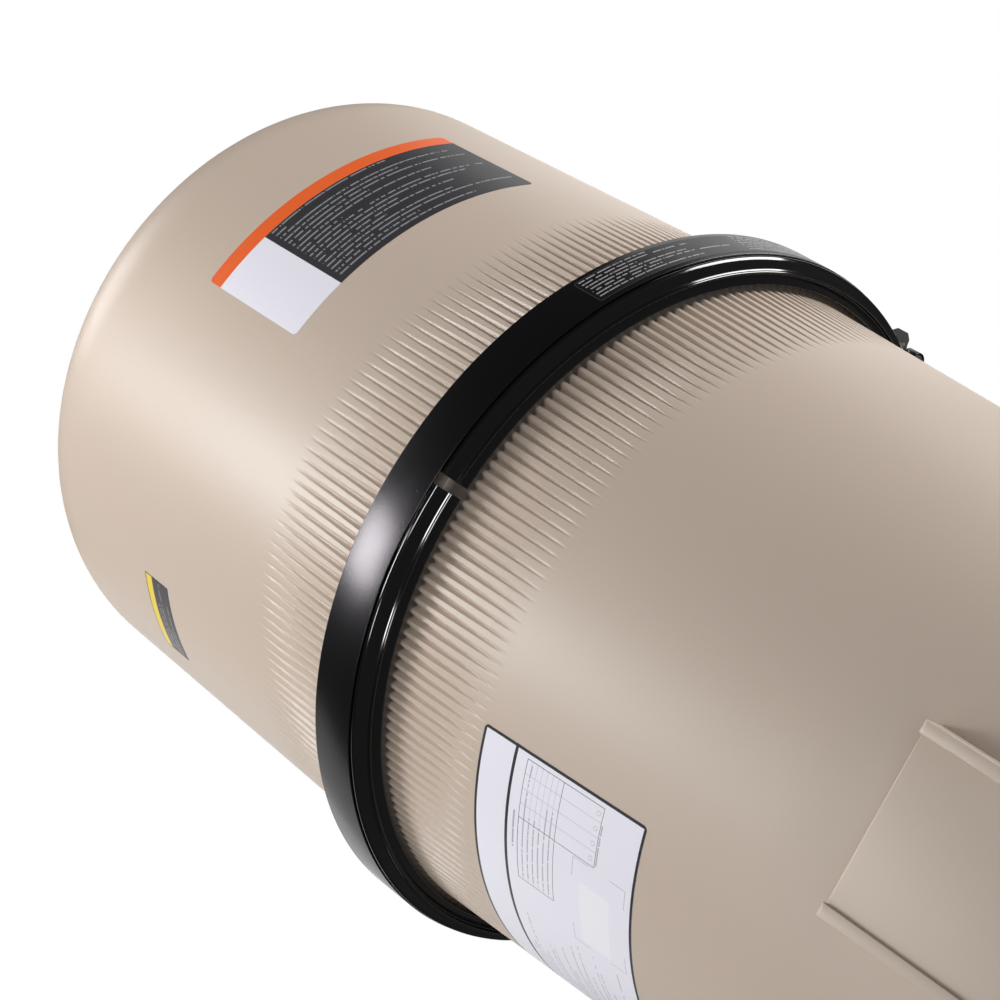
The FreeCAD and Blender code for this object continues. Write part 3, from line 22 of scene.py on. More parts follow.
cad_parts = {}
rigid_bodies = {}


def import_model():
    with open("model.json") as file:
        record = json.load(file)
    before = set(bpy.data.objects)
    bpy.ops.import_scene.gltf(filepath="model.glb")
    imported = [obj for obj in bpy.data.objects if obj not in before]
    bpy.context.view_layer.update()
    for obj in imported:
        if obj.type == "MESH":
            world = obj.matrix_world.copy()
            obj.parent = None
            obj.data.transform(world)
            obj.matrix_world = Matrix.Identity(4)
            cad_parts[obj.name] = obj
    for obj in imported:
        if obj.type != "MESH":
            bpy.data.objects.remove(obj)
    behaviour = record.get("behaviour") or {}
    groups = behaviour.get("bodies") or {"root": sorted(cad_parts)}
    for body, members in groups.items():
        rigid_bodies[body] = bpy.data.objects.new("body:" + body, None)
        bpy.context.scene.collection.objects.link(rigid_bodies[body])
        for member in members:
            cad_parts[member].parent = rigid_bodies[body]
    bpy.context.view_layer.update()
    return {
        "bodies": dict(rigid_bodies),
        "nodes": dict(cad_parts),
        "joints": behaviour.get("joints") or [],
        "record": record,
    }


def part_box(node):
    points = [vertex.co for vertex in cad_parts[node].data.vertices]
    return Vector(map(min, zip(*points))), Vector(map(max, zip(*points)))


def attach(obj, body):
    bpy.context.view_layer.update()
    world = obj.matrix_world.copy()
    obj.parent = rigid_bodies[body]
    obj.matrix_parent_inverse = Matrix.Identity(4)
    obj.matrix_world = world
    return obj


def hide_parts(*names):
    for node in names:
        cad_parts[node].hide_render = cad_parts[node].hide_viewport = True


LOG = logging.getLogger("filter")
MM = 0.001
VESSEL = "vessel"
JOINT_HEIGHT = 0.692
BAND_RADIUS = 0.26
COARSE_COLUMNS = 360
HOLE_COLUMNS = 72
STRAIGHT = math.radians(172.0)
MOST_CUT = 0.45
ON_AXIS = 1e-9
DOUBLES = 1e-6
Colour = tuple[float, float, float]
Outline = list[tuple[float, float]]
Box = tuple[float, float, float, float]


class Tone(Enum):
    """Named colours of the filter, linear."""

    TAN = (0.542, 0.445, 0.366)
    SATIN_BLACK = (0.0035, 0.0035, 0.004)
    GLOSS_BLACK = (0.0025, 0.0025, 0.003)
    MOULDED_BLACK = (0.009, 0.009, 0.0095)
    RUBBER = (0.012, 0.012, 0.012)
    GREY = (0.12, 0.12, 0.125)
    WHITE = (0.72, 0.72, 0.7)
    ZINC = (0.56, 0.56, 0.54)
    SPRING = (0.16, 0.16, 0.17)
    BRASS = (0.6, 0.42, 0.16)
    STEEL = (0.55, 0.55, 0.56)
    RED = (0.55, 0.03, 0.02)
    BLUE = (0.06, 0.16, 0.36)
    CLOTH = (0.78, 0.79, 0.8)
    PAPER = (0.82, 0.81, 0.89)
    INK = (0.03, 0.03, 0.035)
    PALE_INK = (0.25, 0.25, 0.275)
    ORANGE = (0.85, 0.13, 0.022)
    YELLOW = (0.78, 0.58, 0.06)
    CHARCOAL = (0.035, 0.035, 0.038)

    def times(self, factor: float) -> Colour:
        """The colour made lighter or darker, each part at most one."""
        return tuple(min(part * factor, 1.0) for part in self.value)


class Value:
    """A number in a node tree; arithmetic on it adds Math nodes."""

    def __init__(self, tree: bpy.types.NodeTree, socket: bpy.types.NodeSocket) -> None:
        """Wrap one output socket."""
        self.tree = tree
        self.socket = socket

    def math(self, operation: str, *others: Value | float) -> Value:
        """Add one Math node with this number as its first input."""
        return self.worked_out(operation, self, *others)

    def worked_out(self, operation: str, *terms: Value | float) -> Value:
        """Add one Math node.

        Args:
            operation: the Math node's operation.
            terms: its inputs, in order.

        Returns:
            The node's result.
        """
        node = self.tree.nodes.new("ShaderNodeMath")
        node.operation = operation
        for socket, term in zip(node.inputs, terms):
            join(self.tree, term, socket)
        return Value(self.tree, node.outputs[0])

    def __add__(self, other: Value | float) -> Value:
        """Sum."""
        return self.math("ADD", other)

    def __sub__(self, other: Value | float) -> Value:
        """Difference."""
        return self.math("SUBTRACT", other)

    def __rsub__(self, other: float) -> Value:
        """Difference from a number."""
        return self.worked_out("SUBTRACT", other, self)

    def __mul__(self, other: Value | float) -> Value:
        """Product."""
        return self.math("MULTIPLY", other)

    def __truediv__(self, other: Value | float) -> Value:
        """Quotient."""
        return self.math("DIVIDE", other)

    def __gt__(self, other: Value | float) -> Value:
        """One where this is the greater, else zero."""
        return self.math("GREATER_THAN", other)

    def __lt__(self, other: Value | float) -> Value:
        """One where this is the less, else zero."""
        return self.math("LESS_THAN", other)

    def __abs__(self) -> Value:
        """Size without sign."""
        return self.math("ABSOLUTE")

    def between(self, low: float, high: float) -> Value:
        """One from low to high, else zero."""
        return (self > low) * (self < high)

    def limited(self) -> Value:
        """Kept from zero to one."""
        return self.math("MAXIMUM", 0.0).math("MINIMUM", 1.0)

    def higher(self, other: Value | float) -> Value:
        """The greater of two."""
        return self.math("MAXIMUM", other)

    def fraction(self) -> Value:
        """What is left past the whole number below."""
        return self.math("FRACT")

    def root(self) -> Value:
        """Square root."""
        return self.math("SQRT")


def join(tree: bpy.types.NodeTree, source: Any, target: bpy.types.NodeSocket) -> None:
    """Link or set one input.

    Args:
        tree: the node tree.
        source: a Value, a socket, or a plain value.
        target: the input socket.
    """
    if isinstance(source, Value):
        source = source.socket
    if isinstance(source, bpy.types.NodeSocket):
        tree.links.new(source, target)
    elif isinstance(source, tuple) and len(source) == 3 and target.type == "RGBA":
        target.default_value = (*source, 1.0)
    else:
        target.default_value = source


class Graph:
    """One node tree under construction."""

    def __init__(self, tree: bpy.types.NodeTree) -> None:
        """Start from an empty tree."""
        self.tree = tree
        tree.nodes.clear()

    def node(self, kind: str, settings: dict[str, Any] | None = None,
             inputs: dict[str | int, Any] | None = None) -> bpy.types.Node:
        """Add a node.

        Args:
            kind: the node's type name.
            settings: attributes set first.
            inputs: values or links, by input name or index.

        Returns:
            The node.
        """
        made = self.tree.nodes.new(kind)
        for key, value in (settings or {}).items():
            setattr(made, key, value)
        for key, value in (inputs or {}).items():
            join(self.tree, value, made.inputs[key])
        return made

    def value(self, node: bpy.types.Node, output: str | int = 0) -> Value:
        """One output of a node as a number."""
        return Value(self.tree, node.outputs[output])

    def noise(self, place: bpy.types.NodeSocket, scale: float, detail: float = 2.0,
              roughness: float = 0.5) -> Value:
        """Noise from 0 to 1 around 0.5.

        Args:
            place: the coordinates' socket.
            scale: waves per metre.
            detail: octaves.
            roughness: weight of the finer octaves.

        Returns:
            The noise as a number.
        """
        made = self.node("ShaderNodeTexNoise", None, {
            "Vector": place, "Scale": scale, "Detail": detail, "Roughness": roughness})
        return self.value(made, "Fac")

    def mixed(self, factor: Value | float, first: Any, second: Any) -> bpy.types.NodeSocket:
        """Blend two colours.

        Args:
            factor: zero for the first, one for the second.
            first: a colour or a colour socket.
            second: a colour or a colour socket.

        Returns:
            The blended colour's socket.
        """
        made = self.node("ShaderNodeMix", {"data_type": "RGBA"},
                         {"Factor": factor, 6: first, 7: second})
        return made.outputs[2]

    def bump(self, height: Value, distance: float) -> bpy.types.NodeSocket:
        """Normal of a height field.

        Args:
            height: the field, from 0 to 1.
            distance: its full swing in metres.

        Returns:
            The normal's socket.
        """
        made = self.node("ShaderNodeBump", None, {"Height": height, "Distance": distance,
                                                  "Strength": 1.0})
        return made.outputs["Normal"]


@dataclass(frozen=True)
class Finish:
    """A finish with a name, a colour and a roughness."""

    name: str
    tone: Tone
    roughness: float = 0.45
    speckle: float = 0.03
    grain: float = 900.0
    grain_depth: float = 0.012
    metallic: float = 0.0
    specular: float = 0.5
    tint: Colour = (1.0, 1.0, 1.0)

    MOTTLE_SCALE = 14.0
    WEAR_SCALE = 60.0
    WEAR_SHARE = 0.12

    def material(self) -> bpy.types.Material:
        """Make the finish's material on its first use.

        Returns:
            The material.
        """
        known = bpy.data.materials.get(self.name)
        if known is not None:
            return known
        made = bpy.data.materials.new(self.name)
        made.use_nodes = True
        graph = Graph(made.node_tree)
        surface = graph.node("ShaderNodeBsdfPrincipled", None, {
            "Metallic": self.metallic, "Specular IOR Level": self.specular,
            "Specular Tint": self.tint})
        self.dress(graph, surface)
        output = graph.node("ShaderNodeOutputMaterial")
        graph.tree.links.new(surface.outputs[0], output.inputs[0])
        made.diffuse_color = (*self.tone.value, 1.0)
        return made

    def dress(self, graph: Graph, surface: bpy.types.Node) -> None:
        """Colour mottling, uneven gloss and a fine grain.

        Args:
            graph: the material's tree.
            surface: its Principled node.
        """
        place = graph.node("ShaderNodeTexCoord").outputs["Object"]
        mottle = graph.noise(place, self.MOTTLE_SCALE, 4.0)
        pale = self.tone.times(1.0 + self.speckle)
        deep = self.tone.times(1.0 - self.speckle)
        colour = self.shaded(graph, place, graph.mixed(mottle, deep, pale))
        join(graph.tree, colour, surface.inputs["Base Color"])
        wear = graph.noise(place, self.WEAR_SCALE, 3.0)
        gloss = (wear - 0.5) * self.WEAR_SHARE * self.roughness + self.roughness
        join(graph.tree, gloss, surface.inputs["Roughness"])
        relief = graph.noise(place, self.grain, 1.5)
        join(graph.tree, graph.bump(relief, self.grain_depth * MM), surface.inputs["Normal"])

    def shaded(self, graph: Graph, place: bpy.types.NodeSocket,
               colour: bpy.types.NodeSocket) -> bpy.types.NodeSocket:
        """The colour with any painted shade; none here."""
        return colour


@dataclass(frozen=True)
class MouldedShell(Finish):
    """The shells' plastic, with painted shade where the clamp keeps the light away.

    The painted shade reaches from one depth below the joint to another, in metres, and blurs at
    its ends.
    """

    SHADE_FROM = 0.019
    SHADE_TO = 0.030
    SHADE_BLUR = 0.003
    PAINTED_SHADE_TONE = 0.25

    def shaded(self, graph: Graph, place: bpy.types.NodeSocket,
               colour: bpy.types.NodeSocket) -> bpy.types.NodeSocket:
        """The colour, with painted shade below the joint as far as the retainers reach.

        Args:
            graph: the material's tree.
            place: the Object coordinates.
            colour: the plain colour.

        Returns:
            The colour with the painted shade.
        """
        parts = graph.node("ShaderNodeSeparateXYZ", None, {0: place})
        below = (graph.value(parts, "Z") - JOINT_HEIGHT) * -1.0
        entered = ((below - self.SHADE_FROM) / self.SHADE_BLUR).limited()
        left = ((self.SHADE_TO - below) / self.SHADE_BLUR).limited()
        # Painted shade: the flange under the clamp is darkened where the retainers keep the light
        # away.
        return graph.mixed(entered * left, colour, self.tone.times(self.PAINTED_SHADE_TONE))


@dataclass(frozen=True)
class Brushed(Finish):
    """Metal with fine streaks along one direction."""

    streak: tuple[float, float, float] = (1.0, 1.0, 12.0)

    PALE = 1.1
    DEEP = 0.85
    GLOSS_SWING = 0.15

    def dress(self, graph: Graph, surface: bpy.types.Node) -> None:
        """Streaked colour, gloss and relief.

        Args:
            graph: the material's tree.
            surface: its Principled node.
        """
        place = graph.node("ShaderNodeTexCoord").outputs["Object"]
        drawn = graph.node("ShaderNodeMapping", None, {"Vector": place, "Scale": self.streak})
        streaks = graph.noise(drawn.outputs[0], self.grain, 2.0)
        colour = graph.mixed(streaks, self.tone.times(self.DEEP), self.tone.times(self.PALE))
        join(graph.tree, colour, surface.inputs["Base Color"])
        gloss = (streaks - 0.5) * self.GLOSS_SWING + self.roughness
        join(graph.tree, gloss, surface.inputs["Roughness"])
        join(graph.tree, graph.bump(streaks, self.grain_depth * MM), surface.inputs["Normal"])


@dataclass(frozen=True)
class Pleated(Finish):
    """Pleated cloth, its folds drawn as painted shade over both level directions."""

    pitch: float = 0.004

    FOLD_SHADE_TONE = 0.6
    FOLD_GLOSS = 0.1
    WEAVE_SCALE = 1800.0

    def dress(self, graph: Graph, surface: bpy.types.Node) -> None:
        """Folds as crossing waves of painted shade and gloss, and a weave.

        Args:
            graph: the material's tree.
            surface: its Principled node.
        """
        place = graph.node("ShaderNodeTexCoord").outputs["Object"]
        parts = graph.node("ShaderNodeSeparateXYZ", None, {0: place})
        x, y = (graph.value(parts, axis) * (math.tau / self.pitch) for axis in "XY")
        folds = (x.math("SINE") * y.math("SINE") + 1.0) * 0.5
        # Painted shade: the cloth is darker along each fold.
        colour = graph.mixed(folds, self.tone.times(self.FOLD_SHADE_TONE), self.tone.value)
        join(graph.tree, colour, surface.inputs["Base Color"])
        gloss = folds * self.FOLD_GLOSS + self.roughness
        join(graph.tree, gloss, surface.inputs["Roughness"])
        weave = graph.noise(place, self.WEAVE_SCALE, 1.0)
        join(graph.tree, graph.bump(weave, self.grain_depth * MM), surface.inputs["Normal"])


@dataclass(frozen=True)
class Lens(Finish):
    """Clear gauge lens."""

    MARK_SCALE = 90.0
    MARK_GLOSS = 0.05
    CLEAR_ALPHA = 0.18

    def dress(self, graph: Graph, surface: bpy.types.Node) -> None:
        """Clear, with faint handling marks in the gloss.

        Args:
            graph: the material's tree.
            surface: its Principled node.
        """
        place = graph.node("ShaderNodeTexCoord").outputs["Object"]
        marks = graph.noise(place, self.MARK_SCALE, 4.0)
        gloss = marks * self.MARK_GLOSS + self.roughness
        join(graph.tree, self.tone.value, surface.inputs["Base Color"])
        join(graph.tree, gloss, surface.inputs["Roughness"])
        join(graph.tree, self.CLEAR_ALPHA, surface.inputs["Alpha"])


@dataclass(frozen=True)
class Rows:
    """Rows of broken rules in a box (left, low, right, top), in millimetres."""

    box: Box
    pitch: float
    thick: float
    shift: float = 0.0


@dataclass(frozen=True)
class PrintedPanel(Finish):
    """A printed panel drawn in millimetres from its lower left corner."""

    width: float = 100.0
    height: float = 50.0

    FILM_SCALE = 40.0
    FILM_GLOSS = 0.08
    FILM_RELIEF = 0.02
    RULE_DROP = 0.2
    WORD_PITCH = 0.42
    WORD_SHARE = 0.36
    WORD_STEP = 7.3
    END_STEP = 3.7
    END_SWING = 1.7
    END_LOSS = 0.1

    def dress(self, graph: Graph, surface: bpy.types.Node) -> None:
        """Print over a smooth film.

        Args:
            graph: the material's tree.
            surface: its Principled node.
        """
        printed = graph.node("ShaderNodeUVMap", {"uv_map": "print"})
        parts = graph.node("ShaderNodeSeparateXYZ", None, {0: printed.outputs[0]})
        across = graph.value(parts, "X") * self.width
        up = graph.value(parts, "Y") * self.height
        join(graph.tree, self.draw(graph, across, up), surface.inputs["Base Color"])
        place = graph.node("ShaderNodeTexCoord").outputs["Object"]
        film = graph.noise(place, self.FILM_SCALE, 3.0)
        gloss = film * self.FILM_GLOSS + self.roughness
        join(graph.tree, gloss, surface.inputs["Roughness"])
        join(graph.tree, graph.bump(film, self.FILM_RELIEF * MM), surface.inputs["Normal"])

    def draw(self, graph: Graph, across: Value, up: Value) -> Any:
        """The panel's colour; a plain panel here."""
        return self.tone.value

    @staticmethod
    def frame_line(across: Value, up: Value, box: Box, thick: float) -> Value:
        """The outline of a box.

        Args:
            across: millimetres from the left.
            up: millimetres from the bottom.
            box: left, low, right and top.
            thick: thickness of the line.

        Returns:
            One on the line, else zero.
        """
        left, low, right, top = box
        outer = across.between(left, right) * up.between(low, top)
        inner = (across.between(left + thick, right - thick)
                 * up.between(low + thick, top - thick))
        return outer - inner

    def rules(self, graph: Graph, across: Value, up: Value, rows: Rows) -> Value:
        """Broken rules in rows of uneven length.

        Args:
            graph: the material's tree.
            across: millimetres from the left.
            up: millimetres from the bottom.
            rows: the rows' box, pitch, thickness and shift of the pattern of gaps.

        Returns:
            One on a rule, else zero.
        """
        left, low, right, top = rows.box
        row = (up - low) / rows.pitch
        number = row.math("FLOOR")
        head = rows.pitch - self.RULE_DROP
        line = (row.fraction() * rows.pitch).between(head - rows.thick, head)
        cell = graph.node("ShaderNodeCombineXYZ", None, {
            0: across * self.WORD_PITCH + rows.shift, 1: number * self.WORD_STEP + rows.shift})
        word = graph.node("ShaderNodeTexNoise", {"noise_dimensions": "2D"}, {
            "Vector": cell.outputs[0], "Scale": 1.0, "Detail": 0.0})
        written = graph.value(word, "Fac") > self.WORD_SHARE
        ragged = graph.node("ShaderNodeTexNoise", {"noise_dimensions": "1D"}, {
            "W": number * self.END_STEP + rows.shift, "Scale": 1.0, "Detail": 0.0})
        reach = graph.value(ragged, "Fac") * self.END_SWING - self.END_LOSS
        ends = across < (reach.limited() * (right - left) + left)
        return line * written * ends * across.between(left, right) * up.between(low, top)


@dataclass(frozen=True)
class SpecificationPanel(PrintedPanel):
    """White panel with a dark border, a title strip, a table and corner marks."""

    border: float = 2.1
    title: tuple[float, float] = (28.4, 30.9)
    columns: tuple[float, float, float] = (139.0, 185.8, 227.0)
    drops: tuple[float, float, float] = (40.1, 72.9, 108.1)
    sticker: Box = (122.0, 20.0, 169.0, 46.0)
    marked: Box = (119.0, 7.0, 184.6, 53.0)

    TABLE_LINE = 0.45
    COLUMN_LINE = 0.3
    ROW_LINE = 0.28
    HOLE_RISE = 4.0
    HOLE_EDGE = (1.3, 1.65)
    MARK_REACH = 14.0
    STICKER_TONE = (0.87, 0.855, 0.9)
    PRINT_TONE = (0.19, 0.19, 0.215)
    TABLE_TONE = (0.1, 0.1, 0.11)

    def draw(self, graph: Graph, across: Value, up: Value) -> Any:
        """Border, title line, table, circles, corner marks, sticker and rules.

        Args:
            graph: the material's tree.
            across: millimetres from the left.
            up: millimetres from the bottom.

        Returns:
            The colour's socket.
        """
        dark = self.frame_line(across, up, (0.0, 0.0, self.width, self.height), self.border)
        near, far = self.title
        dark = dark.higher(up.between(self.height - far, self.height - near))
        left, middle, right = self.columns
        head, split, foot = (self.height - drop for drop in self.drops)
        fine = self.frame_line(across, up, (left, split, right, head), self.TABLE_LINE)
        fine = fine.higher(self.frame_line(across, up, (middle, foot, right, head),
                                           self.TABLE_LINE))
        cell = (right - middle) / 4.0
        column = ((across - middle) / cell).fraction() * cell
        grid = (column < self.COLUMN_LINE) * across.between(middle, right) * up.between(foot, head)
        row_pitch = (head - split) / 7.0
        row = ((up - split) / row_pitch).fraction() * row_pitch
        grid = grid.higher((row < self.ROW_LINE) * across.between(left, right)
                           * up.between(split, head))
        aside = column - cell / 2.0
        above = up - (foot + self.HOLE_RISE)
        away = (aside * aside + above * above).root()
        circles = away.between(*self.HOLE_EDGE) * across.between(middle, right)
        lines = (
            Rows((left + 3.0, split + 0.6, right - 3.0, head - 0.4), row_pitch, 1.1, 3.0),
            Rows((8.0, 7.0, 112.0, self.height - 35.0), 3.6, 0.85),
            Rows((left + 22.0, head + 1.6, middle + 12.0, head + 5.2), 3.4, 1.6, 8.0),
            Rows((middle + 2.0, foot - 3.4, right - 2.0, foot - 0.2), 3.0, 1.1, 5.0),
        )
        pale = grid.higher(circles).higher(self.corner_marks(across, up))
        for rows in lines:
            pale = pale.higher(self.rules(graph, across, up, rows))
        low_left, low, high_right, high = self.sticker
        stuck = across.between(low_left, high_right) * up.between(low, high)
        colour = graph.mixed(stuck, self.tone.value, self.STICKER_TONE)
        colour = graph.mixed(pale * 0.6, colour, self.PRINT_TONE)
        colour = graph.mixed(fine, colour, self.TABLE_TONE)
        return graph.mixed(dark, colour, Tone.INK.value)

    def corner_marks(self, across: Value, up: Value) -> Value:
        """Four corner marks around the place of the sticker.

        Args:
            across: millimetres from the left.
            up: millimetres from the bottom.

        Returns:
            One on a mark, else zero.
        """
        left, low, right, top = self.marked
        reach, thick = self.MARK_REACH, self.TABLE_LINE
        near_side = (across.between(left, left + reach)
                     .higher(across.between(right - reach, right)))
        near_end = up.between(low, low + reach).higher(up.between(top - reach, top))
        level = (up.between(low, low + thick).higher(up.between(top - thick, top))) * near_side
        upright = (across.between(left, left + thick)
                   .higher(across.between(right - thick, right))) * near_end
        return level.higher(upright)


@dataclass(frozen=True)
class LidPanel(PrintedPanel):
    """Panel on the lid: a coloured stripe, a white field and a dark field with rules."""

    stripe: float = 13.0
    field: float = 47.0

    def draw(self, graph: Graph, across: Value, up: Value) -> Any:
        """Stripe at the top, white field at the left, ruled dark field.

        Args:
            graph: the material's tree.
            across: millimetres from the left.
            up: millimetres from the bottom.

        Returns:
            The colour's socket.
        """
        stripe_low = self.height - self.stripe
        lines = Rows((self.field + 5.0, 3.0, self.width - 6.0, stripe_low - 1.0), 4.95, 1.55)
        rows = self.rules(graph, across, up, lines)
        dark = graph.mixed(rows, Tone.CHARCOAL.value, Tone.PALE_INK.value)
        fields = graph.mixed(across < self.field, dark, Tone.PAPER.value)
        return graph.mixed(up > stripe_low, fields, Tone.ORANGE.value)


@dataclass(frozen=True)
class SmallPanel(PrintedPanel):
    """Small panel on the lid: a dark field with rules and a yellow stripe at the top."""

    stripe: float = 8.2

    FIELD_TONE = (0.07, 0.065, 0.07)
    RULE_TONE = (0.25, 0.235, 0.24)
    EDGE_TONE = (0.05, 0.048, 0.05)

    def draw(self, graph: Graph, across: Value, up: Value) -> Any:
        """Yellow stripe, pale rules and a thin dark border.

        Args:
            graph: the material's tree.
            across: millimetres from the left.
            up: millimetres from the bottom.

        Returns:
            The colour's socket.
        """
        lines = Rows((3.0, 2.2, self.width - 3.0, self.height - 9.4), 3.6, 1.1)
        rows = self.rules(graph, across, up, lines)
        field = graph.mixed(rows, self.FIELD_TONE, self.RULE_TONE)
        field = graph.mixed(up > (self.height - self.stripe), field, Tone.YELLOW.value)
        edge = self.frame_line(across, up, (0.0, 0.0, self.width, self.height), 0.8)
        return graph.mixed(edge, field, self.EDGE_TONE)


@dataclass(frozen=True)
class BandPanel(PrintedPanel):
    """Film on the clamp band with pale rules in two fields."""

    divider: float = 131.0

    RULE_TONE = (0.4, 0.38, 0.4)
    EDGE_TONE = (0.2, 0.19, 0.2)

    def draw(self, graph: Graph, across: Value, up: Value) -> Any:
        """Two ruled fields with a thin divider and edge.

        Args:
            graph: the material's tree.
            across: millimetres from the left.
            up: millimetres from the bottom.

        Returns:
            The colour's socket.
        """
        top = self.height - 1.2
        left = Rows((3.0, 1.8, self.divider - 8.0, top), 3.5, 1.15)
        right = Rows((self.divider + 4.0, 1.8, self.width - 20.0, top), 3.5, 1.05, 6.0)
        rules = self.rules(graph, across, up, left).higher(self.rules(graph, across, up, right))
        line = across.between(self.divider, self.divider + 0.35)
        edge = self.frame_line(across, up, (0.0, 0.0, self.width, self.height), 0.25)
        colour = graph.mixed(rules * 0.8, self.tone.value, self.RULE_TONE)
        return graph.mixed(line.higher(edge) * 0.5, colour, self.EDGE_TONE)


SHELL = MouldedShell("moulded_tan_shell", Tone.TAN, 0.42, 0.01, 820.0, 0.009)
BAND = Finish("satin_black_coating", Tone.SATIN_BLACK, 0.25, 0.1, 900.0, 0.035, specular=0.44,
              tint=(1.0, 0.93, 1.0))
RETAINER = Finish("gloss_black_coating", Tone.GLOSS_BLACK, 0.1, 0.1, 300.0, 0.003, specular=0.75)
BLACK = Finish("black_moulding", Tone.MOULDED_BLACK, 0.42, 0.08, 1300.0, 0.02)
KNOB = Finish("glossy_knob", Tone.MOULDED_BLACK, 0.28, 0.05, 500.0, 0.008)
RUBBER = Finish("seal_rubber", Tone.RUBBER, 0.7, 0.1, 1500.0, 0.03)
GREY = Finish("grey_moulding", Tone.GREY, 0.45, 0.06, 1100.0, 0.015)
WHITE = Finish("white_moulding", Tone.WHITE, 0.35, 0.03, 900.0, 0.01)
ZINC = Brushed("zinc_plate", Tone.ZINC, 0.32, grain=420.0, grain_depth=0.006, metallic=1.0)
SPRING = Brushed("spring_steel", Tone.SPRING, 0.34, grain=500.0, grain_depth=0.006, metallic=1.0)
BRASS = Brushed("turned_brass", Tone.BRASS, 0.26, grain=600.0, grain_depth=0.005, metallic=1.0)
STEEL = Brushed("gauge_steel", Tone.STEEL, 0.28, grain=600.0, grain_depth=0.004, metallic=1.0)
NEEDLE = Finish("painted_needle", Tone.RED, 0.4, 0.03, 900.0, 0.005)
DIAL = Finish("dial_enamel", Tone.WHITE, 0.35, 0.01, 900.0, 0.003)
DIAL_INK = Finish("dial_ink", Tone.INK, 0.5, 0.03, 900.0, 0.003)
LENS = Lens("clear_lens", Tone.WHITE, 0.03)
MEDIA = Pleated("pleated_cloth", Tone.CLOTH, 0.75)
CAP = Finish("cast_end_cap", Tone.BLUE, 0.5, 0.06, 900.0, 0.02)
SLOT_FINISH = {
    "tan_shell": SHELL, "satin_black_band": BAND, "gloss_black_retainer": RETAINER,
    "zinc_steel": ZINC, "spring_steel": SPRING, "seal_rubber": RUBBER, "black_plastic": BLACK,
    "grey_plastic": GREY, "white_plastic": WHITE, "knob_plastic": KNOB, "brass": BRASS,
    "gauge_steel": STEEL, "dial_white": DIAL, "needle_red": NEEDLE, "clear_lens": LENS,
    "pleated_media": MEDIA, "end_cap": CAP,
}


def spot(heading: float, radius: float, height: float) -> Vector:
    """The point at a heading, a distance from the tank's axis and a height."""
    angle = math.radians(heading)
    return Vector((radius * math.sin(angle), -radius * math.cos(angle), height))


def outward_frame(heading: float, radius: float, height: float) -> Matrix:
    """Frame of a fitting in the wall.

    Args:
        heading: the fitting's heading.
        radius: distance of the frame's origin from the tank's axis.
        height: height of the frame's origin.

    Returns:
        The frame, local +Z outwards and local +Y up.
    """
    turn = Matrix.Rotation(math.radians(heading), 4, "Z")
    tip = Matrix.Rotation(math.radians(90.0), 4, "X")
    return Matrix.Translation(spot(heading, radius, height)) @ turn @ tip


def signed_area(outline: Sequence[tuple[float, float]]) -> float:
    """Area of a closed outline.

    Args:
        outline: its corners.

    Returns:
        The area, positive when the outline runs anticlockwise.
    """
    total = 0.0
    for (x0, y0), (x1, y1) in zip(outline, list(outline[1:]) + [outline[0]]):
        total += x0 * y1 - x1 * y0
    return total / 2.0


def softened(outline: Outline, radius: float, steps: int = 3, closed: bool = True) -> Outline:
    """Round the corners of an outline.

    Args:
        outline: its corners.
        radius: corner radius, less where an edge is short.
        steps: edges in each rounded corner.
        closed: False keeps the two ends as they are.

    Returns:
        The rounded outline.
    """
    rounded: Outline = []
    count = len(outline)
    for index, corner in enumerate(outline):
        if not closed and index in (0, count - 1):
            rounded.append(corner)
            continue
        here = Vector(corner)
        before = Vector(outline[index - 1]) - here
        after = Vector(outline[(index + 1) % count]) - here
        opening = before.angle(after)
        if opening > STRAIGHT:
            rounded.append(corner)
            continue
        cut = radius / math.tan(opening / 2.0)
        cut = min(cut, before.length * MOST_CUT, after.length * MOST_CUT)
        start = here + before.normalized() * cut
        end = here + after.normalized() * cut
        for step in range(steps + 1):
            share = step / steps
            point = start.lerp(here, share).lerp(here.lerp(end, share), share)
            rounded.append((point.x, point.y))
    return rounded


def arc(middle: tuple[float, float], radius: float, first: float, last: float,
        steps: int) -> Outline:
    """Points on an arc.

    Args:
        middle: the arc's middle.
        radius: its radius.
        first: angle of its first point in degrees.
        last: angle of its last point in degrees.
        steps: edges along it.

    Returns:
        Its points, the ends included.
    """
    points = []
    for step in range(steps + 1):
        angle = math.radians(first + (last - first) * step / steps)
        points.append((middle[0] + radius * math.cos(angle),
                       middle[1] + radius * math.sin(angle)))
    return points


def as_object(name: str, mesh: bpy.types.Mesh) -> bpy.types.Object:
    """Link a mesh to the scene at the origin.

    Args:
        name: the object's name.
        mesh: its mesh.

    Returns:
        The object.
    """
    made = bpy.data.objects.new(name, mesh)
    bpy.context.scene.collection.objects.link(made)
    return made


def mesh_of(name: str, vertices: np.ndarray | list, faces: list) -> bpy.types.Mesh:
    """Make a mesh.

    Args:
        name: its name.
        vertices: its points.
        faces: vertex indices of each face.

    Returns:
        The mesh.
    """
    mesh = bpy.data.meshes.new(name)
    mesh.from_pydata([tuple(map(float, v)) for v in vertices], [], faces)
    mesh.update()
    return mesh


